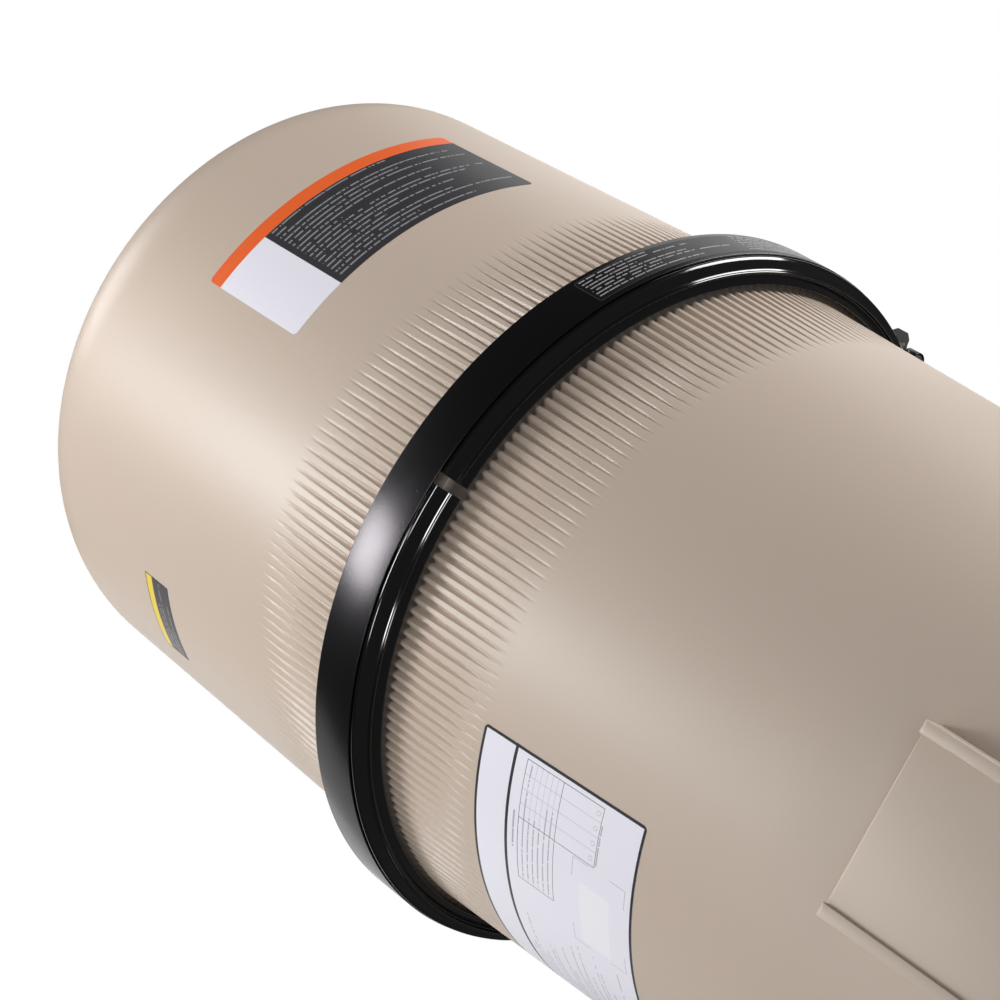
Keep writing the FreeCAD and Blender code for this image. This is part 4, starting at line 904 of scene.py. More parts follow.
def turned_mesh(name: str, outline: Outline, columns: int = 96, first: float = 0.0,
                sweep: float = 360.0, solid: bool = False) -> bpy.types.Mesh:
    """Turn a section about the Z axis.

    Args:
        name: the mesh's name.
        outline: corners (radius, height); closed, or from axis to axis where solid.
        columns: edges around.
        first: heading of the first column.
        sweep: degrees covered; the ends get caps when it is less than a full turn.
        solid: True where the first and last corners lie on the axis.

    Returns:
        The mesh, with its faces outwards.
    """
    if signed_area(outline) < 0.0:
        outline = outline[::-1]
    full = sweep >= 360.0
    stations = columns if full else columns + 1
    angles = np.radians(first + sweep * np.arange(stations) / columns)
    radii = np.array([r for r, _ in outline])
    heights = np.array([z for _, z in outline])
    x = np.outer(radii, np.sin(angles))
    y = -np.outer(radii, np.cos(angles))
    z = np.repeat(heights[:, None], stations, 1)
    points = np.stack([x, y, z], -1).reshape(-1, 3)
    faces: list[tuple[int, ...]] = []
    count = len(outline)
    rows = count - 1 if solid else count
    for row in range(rows):
        after = (row + 1) % count
        low_pole = solid and radii[row] < ON_AXIS
        high_pole = solid and radii[after] < ON_AXIS
        for column in range(columns):
            beside = (column + 1) % stations
            a, b = row * stations + column, row * stations + beside
            c, d = after * stations + beside, after * stations + column
            if low_pole:
                faces.append((row * stations, c, d))
            elif high_pole:
                faces.append((a, b, after * stations))
            else:
                faces.append((a, b, c, d))
    if not full:
        faces.append(tuple(row * stations for row in range(count)))
        faces.append(tuple(row * stations + stations - 1 for row in reversed(range(count))))
    mesh = mesh_of(name, points, faces)
    if solid:
        remove_loose(mesh)
    return mesh


def points_of(mesh: bpy.types.Mesh) -> np.ndarray:
    """Read a mesh's vertices.

    Args:
        mesh: the mesh.

    Returns:
        One row of coordinates per vertex.
    """
    points = np.empty(len(mesh.vertices) * 3, np.float32)
    mesh.vertices.foreach_get("co", points)
    return points.reshape(-1, 3)


def remove_loose(mesh: bpy.types.Mesh) -> None:
    """Delete vertices that no face uses.

    Args:
        mesh: the mesh to change.
    """
    work = bmesh.new()
    work.from_mesh(mesh)
    loose = [vertex for vertex in work.verts if not vertex.link_faces]
    bmesh.ops.delete(work, geom=loose, context="VERTS")
    work.to_mesh(mesh)
    work.free()


def settle_normals(mesh: bpy.types.Mesh) -> None:
    """Merge doubles and turn every face outwards.

    Args:
        mesh: the mesh to change.
    """
    work = bmesh.new()
    work.from_mesh(mesh)
    bmesh.ops.remove_doubles(work, verts=work.verts, dist=DOUBLES)
    bmesh.ops.recalc_face_normals(work, faces=work.faces)
    work.to_mesh(mesh)
    work.free()


def extruded_mesh(name: str, outline: Outline, low: float, high: float) -> bpy.types.Mesh:
    """Make a prism on a level outline.

    Args:
        name: the mesh's name.
        outline: corners (x, y).
        low: height of its foot.
        high: height of its top.

    Returns:
        The mesh, with its faces outwards.
    """
    if signed_area(outline) < 0.0:
        outline = outline[::-1]
    count = len(outline)
    points = [(x, y, z) for z in (low, high) for x, y in outline]
    faces: list[tuple[int, ...]] = [tuple(reversed(range(count))),
                                    tuple(range(count, 2 * count))]
    for index in range(count):
        after = (index + 1) % count
        faces.append((index, after, after + count, index + count))
    return mesh_of(name, points, faces)


def bevelled(mesh: bpy.types.Mesh, width: float, segments: int = 2,
             angle: float = 30.0) -> bpy.types.Mesh:
    """Bevel the sharp edges of a mesh.

    Args:
        mesh: the mesh to change.
        width: bevel width.
        segments: edges across the bevel.
        angle: edges sharper than this are bevelled.

    Returns:
        The same mesh.
    """
    work = bmesh.new()
    work.from_mesh(mesh)
    sharp = [edge for edge in work.edges
             if len(edge.link_faces) == 2 and edge.calc_face_angle() > math.radians(angle)]
    bmesh.ops.bevel(work, geom=sharp, offset=width, segments=segments, profile=0.5,
                    affect="EDGES", clamp_overlap=True)
    bmesh.ops.recalc_face_normals(work, faces=work.faces)
    work.to_mesh(mesh)
    work.free()
    return mesh


def joined_mesh(name: str, meshes: Sequence[bpy.types.Mesh]) -> bpy.types.Mesh:
    """Join meshes.

    Args:
        name: the joined mesh's name.
        meshes: the meshes, in place.

    Returns:
        One mesh.
    """
    work = bmesh.new()
    for mesh in meshes:
        work.from_mesh(mesh)
    made = bpy.data.meshes.new(name)
    work.to_mesh(made)
    work.free()
    return made


def evaluated_mesh(piece: bpy.types.Object, name: str) -> bpy.types.Mesh:
    """Take the result of a piece's modifiers and remove them.

    Args:
        piece: the object.
        name: the resulting mesh's name.

    Returns:
        A plain mesh.
    """
    bpy.context.view_layer.update()
    graph = bpy.context.evaluated_depsgraph_get()
    mesh = bpy.data.meshes.new_from_object(piece.evaluated_get(graph))
    mesh.name = name
    piece.modifiers.clear()
    return mesh


@dataclass
class Placing:
    """How a finished piece is dressed and held."""

    finish: Finish
    slot: str
    body: str = VESSEL
    replaces: tuple[str, ...] = ()
    sharp: float = 35.0


def place(name: str, mesh: bpy.types.Mesh, how: Placing) -> bpy.types.Object:
    """Make a piece of a mesh and hand it to the frame.

    Args:
        name: the piece's name.
        mesh: its mesh, in the row frame.
        how: finish, slot, body and replaced nodes.

    Returns:
        The piece.
    """
    mesh.name = name
    mesh.shade_smooth()
    mesh.set_sharp_from_angle(angle=math.radians(how.sharp))
    mesh.materials.clear()
    mesh.materials.append(how.finish.material())
    piece = as_object(name, mesh)
    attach(piece, how.body)
    if how.replaces:
        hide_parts(*how.replaces)
    LOG.info("%s: %d faces on %s", name, len(mesh.polygons), how.body)
    return piece


class GeometryRule:
    """A geometry node group with named inputs, used once per piece."""

    def __init__(self, name: str) -> None:
        """Start a group with a geometry input and output.

        Args:
            name: the group's name.
        """
        self.tree = bpy.data.node_groups.new(name, "GeometryNodeTree")
        self.graph = Graph(self.tree)
        self.identifiers: dict[str, str] = {}
        self.tree.interface.new_socket("Geometry", in_out="INPUT",
                                       socket_type="NodeSocketGeometry")
        self.tree.interface.new_socket("Geometry", in_out="OUTPUT",
                                       socket_type="NodeSocketGeometry")
        self.entry = self.graph.node("NodeGroupInput")
        self.exit = self.graph.node("NodeGroupOutput")

    def number(self, name: str, kind: str = "NodeSocketFloat") -> Value:
        """Add a named input.

        Args:
            name: the input's name.
            kind: its socket type.

        Returns:
            The input as a number.
        """
        socket = self.tree.interface.new_socket(name, in_out="INPUT", socket_type=kind)
        self.identifiers[name] = socket.identifier
        return Value(self.tree, self.entry.outputs[name])

    def run(self, mesh: bpy.types.Mesh, values: dict[str, Any], name: str) -> bpy.types.Mesh:
        """Run the rule on a mesh.

        Args:
            mesh: the mesh that enters the group.
            values: the named inputs.
            name: the resulting mesh's name.

        Returns:
            The resulting mesh.
        """
        carrier = as_object(f"{name}_carrier", mesh)
        modifier = carrier.modifiers.new("rule", "NODES")
        modifier.node_group = self.tree
        for key, value in values.items():
            modifier[self.identifiers[key]] = value
        made = evaluated_mesh(carrier, name)
        bpy.data.objects.remove(carrier)
        return made


@dataclass(frozen=True)
class Groove:
    """Shape of one shell's flutes: the first one's heading, then metres."""

    first: float
    depth: float
    narrow: float
    widen: float


TANK_GROOVE = Groove(41.35, 0.0044, 0.0009, 0.0019)
LID_GROOVE = Groove(41.2, 0.0031, 0.0010, 0.0018)


class FluteRule(GeometryRule):
    """Presses grooves into an outer wall; each fades to a point away from the joint.

    Columns of vertices are gathered into each groove, so that its narrow end stays round.
    """

    GATHER_GAIN = 8.0
    GATHERED = 0.25
    FLAT_BOTTOM = 0.15
    DEPTH_POWER = 0.85
    LEAST_SHARE = 0.0001

    def __init__(self) -> None:
        """Build the group."""
        super().__init__("wall_flutes")
        count = self.number("Flute count")
        start = self.number("First groove")
        depth = self.number("Depth")
        narrow = self.number("Half width at the point")
        widen = self.number("Widening")
        deep_end = self.number("Deep end")
        fade_end = self.number("Fade out")
        joint = self.number("Joint height")
        graph = self.graph
        place_node = graph.node("GeometryNodeInputPosition")
        parts = graph.node("ShaderNodeSeparateXYZ", None, {0: place_node.outputs[0]})
        x, y, z = (graph.value(parts, axis) for axis in "XYZ")
        radius = (x * x + y * y).root()
        angle = x.math("ARCTAN2", y * -1.0)
        turn = (angle - start) / math.tau * count
        signed = turn - turn.math("ROUND")
        aside = abs(signed)
        side = signed.math("SIGN")
        pitch = radius * math.tau / count
        share = ((fade_end - abs(z - joint)) / (fade_end - deep_end)).limited()
        half = narrow + widen * share
        gather = (share * self.GATHER_GAIN).limited()
        edge = (half / pitch - self.GATHERED) * gather + self.GATHERED
        near = (aside / self.GATHERED).limited() * edge
        far = (aside - self.GATHERED).higher(0.0) * (0.5 - edge) / (0.5 - self.GATHERED)
        moved_aside = near + far
        slope = 1.0 - self.FLAT_BOTTOM
        across = ((moved_aside * pitch / half - self.FLAT_BOTTOM) / slope).limited()
        fall = 1.0 - across * across * (3.0 - across * 2.0)
        outer_node = graph.node("GeometryNodeInputNamedAttribute", {"data_type": "FLOAT"},
                                {"Name": "outer"})
        outer = Value(self.tree, outer_node.outputs[0])
        deepening = share.math("POWER", self.DEPTH_POWER)
        press = deepening * depth * fall * (share > self.LEAST_SHARE) * outer
        swing = (moved_aside - aside) * side * outer * math.tau / count + angle
        inner = radius - press
        spot_node = graph.node("ShaderNodeCombineXYZ", None, {
            0: inner * swing.math("SINE"), 1: inner * swing.math("COSINE") * -1.0, 2: z})
        moved = graph.node("GeometryNodeSetPosition", None, {
            "Geometry": self.entry.outputs["Geometry"], "Position": spot_node.outputs[0]})
        self.tree.links.new(moved.outputs[0], self.exit.inputs[0])


class RingRule(GeometryRule):
    """Copies a mesh around the Z axis."""

    def __init__(self) -> None:
        """Build the group."""
        super().__init__("copies_around")
        count = self.number("Count", "NodeSocketInt")
        step = self.number("Step")
        start = self.number("Start")
        material = self.number("Material", "NodeSocketMaterial")
        graph = self.graph
        index = graph.value(graph.node("GeometryNodeInputIndex"))
        points = graph.node("GeometryNodePoints", None, {"Count": count})
        angle = index * step + start
        turn = graph.node("ShaderNodeCombineXYZ", None, {2: angle})
        copies = graph.node("GeometryNodeInstanceOnPoints", None, {
            "Points": points.outputs[0], "Instance": self.entry.outputs["Geometry"],
            "Rotation": turn.outputs[0]})
        real = graph.node("GeometryNodeRealizeInstances", None, {0: copies.outputs[0]})
        painted = graph.node("GeometryNodeSetMaterial", None, {
            "Geometry": real.outputs[0], "Material": material})
        self.tree.links.new(painted.outputs[0], self.exit.inputs[0])

    def ring(self, mesh: bpy.types.Mesh, count: int, finish: Finish, name: str,
             start: float = 0.0, sweep: float = 360.0) -> bpy.types.Mesh:
        """Copies of a mesh around Z.

        Args:
            mesh: one copy, in place at the first heading.
            count: number of copies.
            finish: the finish of the copies.
            name: the resulting mesh's name.
            start: turn of the first copy in degrees.
            sweep: degrees shared by the copies.

        Returns:
            One mesh of all the copies.
        """
        return self.run(mesh, {
            "Count": count, "Step": math.radians(sweep / count), "Start": math.radians(start),
            "Material": finish.material()}, name)


@dataclass
class TankShells:
    """The two moulded shells with their flutes, pads, bosses and lugs."""

    wall_radius: float = 0.239
    wall: float = 0.007
    lid_draft: float = 0.027
    tank_draft: float = 0.032
    flange_radius: float = 0.2505
    flange_rim: float = 0.0193
    flange_cone: float = 0.008
    collar: float = 0.124
    shoulder: float = 0.3485
    knuckle: float = 0.078
    crown: float = 0.4567
    boss_radius: float = 0.042
    bore: float = 0.019
    seat: float = 0.034
    boss_rise: float = 0.004
    foot_rise: float = 0.014
    foot_bead: float = 0.004
    floor_height: float = 0.018
    floor_thick: float = 0.008
    floor_crown: float = 1.6
    floor_knuckle: float = 0.018
    flute_count: int = 196
    flute_columns: int = 12
    row_break: float = 0.05
    rim_round: float = 0.0008
    edge_round: float = 0.0015
    wall_rows: int = 50
    flute_deep_end: float = 0.022
    flute_fade_end: float = 0.1135
    port_heading: float = 50.2
    port_height: float = 0.093
    port_hole: float = 0.0383
    pad_face: float = 0.2295
    pad_top: float = 0.2975
    pad_width: float = 0.108
    pad_depth: float = 0.026
    pad_plug: float = 0.05
    pad_round: float = 0.0025
    pad_drop: float = 0.0004
    rail_width: float = 0.0083
    rail_rise: float = 0.0035
    rail_round: float = 0.0035
    eased: float = 0.0005
    hollow_depth: float = 0.004
    hollow_reach: float = 0.055
    hollow_foot: float = 0.02
    hollow_ease: float = 0.03
    drain_height: float = 0.062
    drain_face: float = 0.233
    drain_hole: float = 0.02
    drain_boss: tuple[float, float] = (0.0203, 0.030)
    drain_boss_depth: float = 0.022
    drain_boss_round: float = 0.0012
    plug_start: float = 0.15
    plug_length: float = 0.12
    lug_circle: float = 0.235
    lug_radius: float = 0.014
    lug_height: float = 0.012
    lug_hole: float = 0.0055
    lug_count: int = 4
    seam: float = 0.0001
    mean_draft: float = 0.03

    def tank_wall(self, height: float) -> float:
        """Outside radius of the lower tank at a height."""
        return self.wall_radius - self.tank_draft * (JOINT_HEIGHT - height)

    def lid_wall(self, height: float) -> float:
        """Outside radius of the lid at a height."""
        return self.wall_radius - self.lid_draft * (height - JOINT_HEIGHT)

    def build(self) -> None:
        """Build both shells."""
        flutes = FluteRule()
        self.build_collar(flutes, "tank_fluted_collar", -1.0)
        self.build_collar(flutes, "lid_fluted_collar", 1.0)
        self.build_lid()
        self.build_lower_wall()
        for side, sign in (("right", 1.0), ("left", -1.0)):
            self.build_pad(side, sign)
        self.build_lugs()

    def build_collar(self, flutes: FluteRule, name: str, way: float) -> None:
        """One fluted collar with its flange and wedge face.

        Args:
            flutes: the rule that presses the flutes.
            name: the piece's name.
            way: 1 for the lid's collar above the joint, -1 for the tank's below it.
        """
        wall_at = self.lid_wall if way > 0.0 else self.tank_wall
        groove = LID_GROOVE if way > 0.0 else TANK_GROOVE
        cone = self.flange_rim + self.flange_cone
        rises = np.concatenate([np.linspace(cone, self.row_break, 4),
                                np.linspace(self.row_break, self.collar, 17)[1:]])
        outside = [(wall_at(JOINT_HEIGHT + way * rise), JOINT_HEIGHT + way * rise)
                   for rise in rises]
        flange = softened([
            (self.wall_radius - self.wall, JOINT_HEIGHT + way * self.seam),
            (self.flange_radius, JOINT_HEIGHT + way * self.seam),
            (self.flange_radius, JOINT_HEIGHT + way * self.flange_rim),
            outside[0],
        ], self.rim_round, 2, closed=False)
        end = JOINT_HEIGHT + way * self.collar
        inside = [(wall_at(end) - self.wall, end)]
        outline = flange + outside[1:] + inside
        columns = self.flute_count * self.flute_columns
        mesh = turned_mesh(name, outline, columns, groove.first)
        marked = mesh.attributes.new("outer", "FLOAT", "POINT")
        points = points_of(mesh)
        radius = np.hypot(points[:, 0], points[:, 1])
        rise = np.abs(points[:, 2] - JOINT_HEIGHT)
        wall_here = self.wall_radius - self.mean_draft * rise
        outer = (rise > cone - 1e-5) & (radius > wall_here - self.wall / 2.0)
        marked.data.foreach_set("value", outer.astype(np.float32))
        pressed = flutes.run(mesh, {
            "Flute count": float(self.flute_count),
            "First groove": math.radians(groove.first), "Depth": groove.depth,
            "Half width at the point": groove.narrow, "Widening": groove.widen,
            "Deep end": self.flute_deep_end, "Fade out": self.flute_fade_end,
            "Joint height": JOINT_HEIGHT}, name)
        node = "tank_lid" if way > 0.0 else "tank_bottom"
        place(name, pressed, Placing(SHELL, "tan_shell", replaces=(node,), sharp=40.0))

    def dome(self) -> tuple[float, float, float]:
        """Work out the dome's arcs.

        Returns:
            Middle radius and height of the shoulder arc, and middle height of the crown, with
            heights from the joint.
        """
        slant = math.hypot(1.0, self.lid_draft)
        radius = self.lid_wall(JOINT_HEIGHT + self.shoulder) - self.knuckle / slant
        height = self.shoulder - self.knuckle * self.lid_draft / slant
        reach = self.crown - self.knuckle
        return radius, height, height - math.sqrt(reach ** 2 - radius ** 2)

    def dome_side(self, inset: float) -> Outline:
        """Outline of the dome's shoulder and crown, up to the boss or the seat inside.

        Args:
            inset: depth below the outside, zero for the outside itself.

        Returns:
            Corners (radius, height).
        """
        radius, height, crown = self.dome()
        lean = math.degrees(math.atan(self.lid_draft))
        turn = math.degrees(math.atan2(height - crown, radius))
        knuckle = arc((radius, height), self.knuckle - inset, lean, turn, 16)
        edge = self.seat if inset else self.boss_radius
        last = math.degrees(math.acos(edge / (self.crown - inset)))
        top = arc((0.0, crown), self.crown - inset, turn, last, 14)
        return [(r, JOINT_HEIGHT + z) for r, z in knuckle + top[1:]]

    def build_lid(self) -> None:
        """Smooth upper wall and dome of the lid, with the boss and its hole."""
        start = JOINT_HEIGHT + self.collar
        outside = self.dome_side(0.0)
        inside = self.dome_side(self.wall)
        boss_top = JOINT_HEIGHT + self.dome()[2] + self.crown + self.boss_rise
        seat_height = inside[-1][1]
        boss = softened([outside[-1], (self.boss_radius, boss_top), (self.bore, boss_top),
                         (self.bore, seat_height), (self.seat, seat_height)],
                        self.edge_round, 3, False)
        outline = [(self.lid_wall(start), start)] + outside[:-1] + boss + inside[::-1][1:]
        outline += [(self.lid_wall(start) - self.wall, start)]
        mesh = turned_mesh("lid_dome", outline, COARSE_COLUMNS)
        place("lid_dome", mesh, Placing(SHELL, "tan_shell"))

    def build_lower_wall(self) -> None:
        """Smooth lower wall, foot bead and dished floor, with the port and drain holes."""
        top = JOINT_HEIGHT - self.collar
        inside_radius = self.tank_wall(self.floor_height) - self.wall
        middle = self.floor_height + self.floor_crown
        reach = self.floor_crown - self.floor_knuckle
        corner = inside_radius - self.floor_knuckle
        corner_height = middle - math.sqrt(reach ** 2 - corner ** 2)
        floor_edge = -math.degrees(math.acos(corner / reach))
        floor = arc((0.0, middle), self.floor_crown, -90.0, floor_edge, 10)
        bend = arc((corner, corner_height), self.floor_knuckle, floor_edge, 0.0, 6)
        under = self.floor_crown + self.floor_thick
        under_edge = -math.degrees(math.acos(inside_radius / under))
        below = arc((0.0, middle), under, -90.0, under_edge, 10)
        foot = softened([
            below[-1],
            (inside_radius, 0.0),
            (self.tank_wall(0.0) + self.foot_bead, 0.0),
            (self.tank_wall(0.0) + self.foot_bead, self.foot_rise - self.foot_bead),
            (self.tank_wall(self.foot_rise), self.foot_rise),
            (self.tank_wall(top), top),
        ], self.edge_round, 3, closed=False)
        rows = [(self.tank_wall(height), height)
                for height in np.linspace(0.03, top - 0.01, self.wall_rows)]
        outline = below[:-1] + foot[:-1] + rows + foot[-1:]
        outline += [(self.tank_wall(top) - self.wall, top)]
        outline += bend[::-1] + floor[::-1][1:]
        outline[0] = (0.0, outline[0][1])
        outline[-1] = (0.0, outline[-1][1])
        mesh = turned_mesh("tank_lower_wall", outline, COARSE_COLUMNS, solid=True)
        holes = []
        for sign in (1.0, -1.0):
            heading = self.port_heading * sign
            holes.append(self.hole_mesh(heading, self.port_height, self.port_hole))
        holes.append(self.hole_mesh(0.0, self.drain_height, self.drain_hole))
        mesh = self.cut_holes(mesh, holes)
        self.hollow_by_pads(mesh)
        place("tank_lower_wall", mesh, Placing(SHELL, "tan_shell"))
        inner, outer = self.drain_boss
        back = -self.drain_boss_depth
        boss = turned_mesh("drain_boss", softened([
            (inner, back), (outer, back), (outer, 0.0), (inner, 0.0)],
            self.drain_boss_round), 64)
        boss.transform(outward_frame(0.0, self.drain_face, self.drain_height))
        place("drain_boss", boss, Placing(SHELL, "tan_shell"))

    def hollow_by_pads(self, mesh: bpy.types.Mesh) -> None:
        """Sink the outer wall gently towards each port pad.

        Args:
            mesh: the lower wall, changed in place.
        """
        points = points_of(mesh)
        radius = np.hypot(points[:, 0], points[:, 1])
        height = points[:, 2]
        heading = np.degrees(np.arctan2(points[:, 0], -points[:, 1]))
        top = JOINT_HEIGHT - self.collar
        wall = self.tank_wall(height)
        free = np.clip((height - self.hollow_foot) / self.hollow_ease, 0.0, 1.0)
        free *= height < top - self.seam
        free *= radius > wall - 0.001
        for sign in (1.0, -1.0):
            aside = np.abs(np.radians(heading - self.port_heading * sign)) * wall
            aside = np.maximum(aside - self.pad_width / 2.0 - self.rail_width, 0.0)
            away = np.hypot(aside, np.maximum(height - self.pad_top, 0.0))
            share = np.clip(1.0 - away / self.hollow_reach, 0.0, 1.0)
            scale = 1.0 - free * self.hollow_depth * share ** 2 / np.maximum(radius, 0.01)
            points[:, :2] *= scale[:, None]
        mesh.vertices.foreach_set("co", points.ravel())
        mesh.update()

    def hole_mesh(self, heading: float, height: float, radius: float) -> bpy.types.Mesh:
        """Make a plug for a round hole through the wall.

        Args:
            heading: the hole's heading.
            height: height of its middle.
            radius: its radius.

        Returns:
            The plug, in place.
        """
        far = self.plug_length
        mesh = turned_mesh("hole", [(0.0, 0.0), (radius, 0.0), (radius, far), (0.0, far)],
                           HOLE_COLUMNS, solid=True)
        mesh.transform(outward_frame(heading, self.plug_start, height))
        return mesh

    @staticmethod
    def cut_holes(mesh: bpy.types.Mesh, holes: Sequence[bpy.types.Mesh]) -> bpy.types.Mesh:
        """Cut plugs out of a mesh.

        Args:
            mesh: the mesh that gets the holes.
            holes: the plugs, in place.

        Returns:
            The cut mesh.
        """
        target = as_object("wall_blank", mesh)
        plugs = []
        for hole in holes:
            plug = as_object("plug", hole)
            cut = target.modifiers.new("cut", "BOOLEAN")
            cut.operation = "DIFFERENCE"
            cut.solver = "EXACT"
            cut.object = plug
            plugs.append(plug)
        made = evaluated_mesh(target, "wall_cut")
        for spare in [target, *plugs]:
            bpy.data.objects.remove(spare)
        return made

    def build_pad(self, side: str, sign: float) -> None:
        """One flat port pad with a rounded top edge and a rail along each side.

        Args:
            side: "right" or "left", for its name.
            sign: 1 for the right one, -1 for the left one.
        """
        reach = (self.pad_width + self.rail_width) / 2.0
        flat = self.slab("pad_flat", reach, 0.0, self.pad_round, self.pad_drop)
        far = self.pad_plug
        hole = turned_mesh("hole", [(0.0, -far), (self.port_hole, -far),
                                    (self.port_hole, far), (0.0, far)],
                           HOLE_COLUMNS, solid=True)
        hole.transform(Matrix.Translation((0, self.port_height, 0)))
        pieces = [self.cut_holes(flat, [hole])]
        for way in (-1.0, 1.0):
            rail = self.slab("pad_rail", self.rail_width / 2.0, self.rail_rise, self.rail_round)
            rail.transform(Matrix.Translation((way * reach, 0, 0)))
            pieces.append(rail)
        whole = joined_mesh(f"{side}_port_pad", pieces)
        whole.transform(outward_frame(self.port_heading * sign, self.pad_face, 0.0))
        place(f"{side}_port_pad", whole, Placing(SHELL, "tan_shell", sharp=30.0))

    def slab(self, name: str, half: float, rise: float, top_round: float,
             lower: float = 0.0) -> bpy.types.Mesh:
        """A slab in the pad's frame: X across, Y up, Z outwards.

        Args:
            name: the mesh's name.
            half: half of its width.
            rise: height of its face above the pad's flat.
            top_round: radius of the top edge.
            lower: how far its top is below the rails' tops.

        Returns:
            The slab with eased edges.
        """
        top = self.pad_top - lower
        outline = [(-self.pad_depth, 0.0), (rise, 0.0)]
        outline += arc((rise - top_round, top - top_round), top_round, 0.0, 90.0, 6)
        outline += [(-self.pad_depth, top)]
        mesh = extruded_mesh(name, outline, -half, half)
        mesh.transform(Matrix(((0, 0, 1, 0), (0, 1, 0, 0), (1, 0, 0, 0), (0, 0, 0, 1))))
        settle_normals(mesh)
        return bevelled(mesh, self.eased, 2, 50.0)

    def build_lugs(self) -> None:
        """Four drilled anchor lugs."""
        hole = self.lug_hole
        inner = self.tank_wall(0.0) - self.wall / 2.0
        outline = [(inner, -self.lug_radius)]
        outline += arc((self.lug_circle, 0.0), self.lug_radius, -90.0, 90.0, 16)
        outline += [(inner, self.lug_radius)]
        lug = extruded_mesh("lug", outline, 0.0, self.lug_height)
        far = 2.0 * self.lug_height
        drill = turned_mesh("hole", [(0.0, -far), (hole, -far), (hole, far), (0.0, far)],
                            32, solid=True)
        drill.transform(Matrix.Translation((self.lug_circle, 0, 0)))
        lug = bevelled(self.cut_holes(lug, [drill]), self.rim_round, 2, 50.0)
        lugs = RingRule().ring(lug, self.lug_count, SHELL, "anchor_lugs")
        place("anchor_lugs", lugs, Placing(SHELL, "tan_shell"))


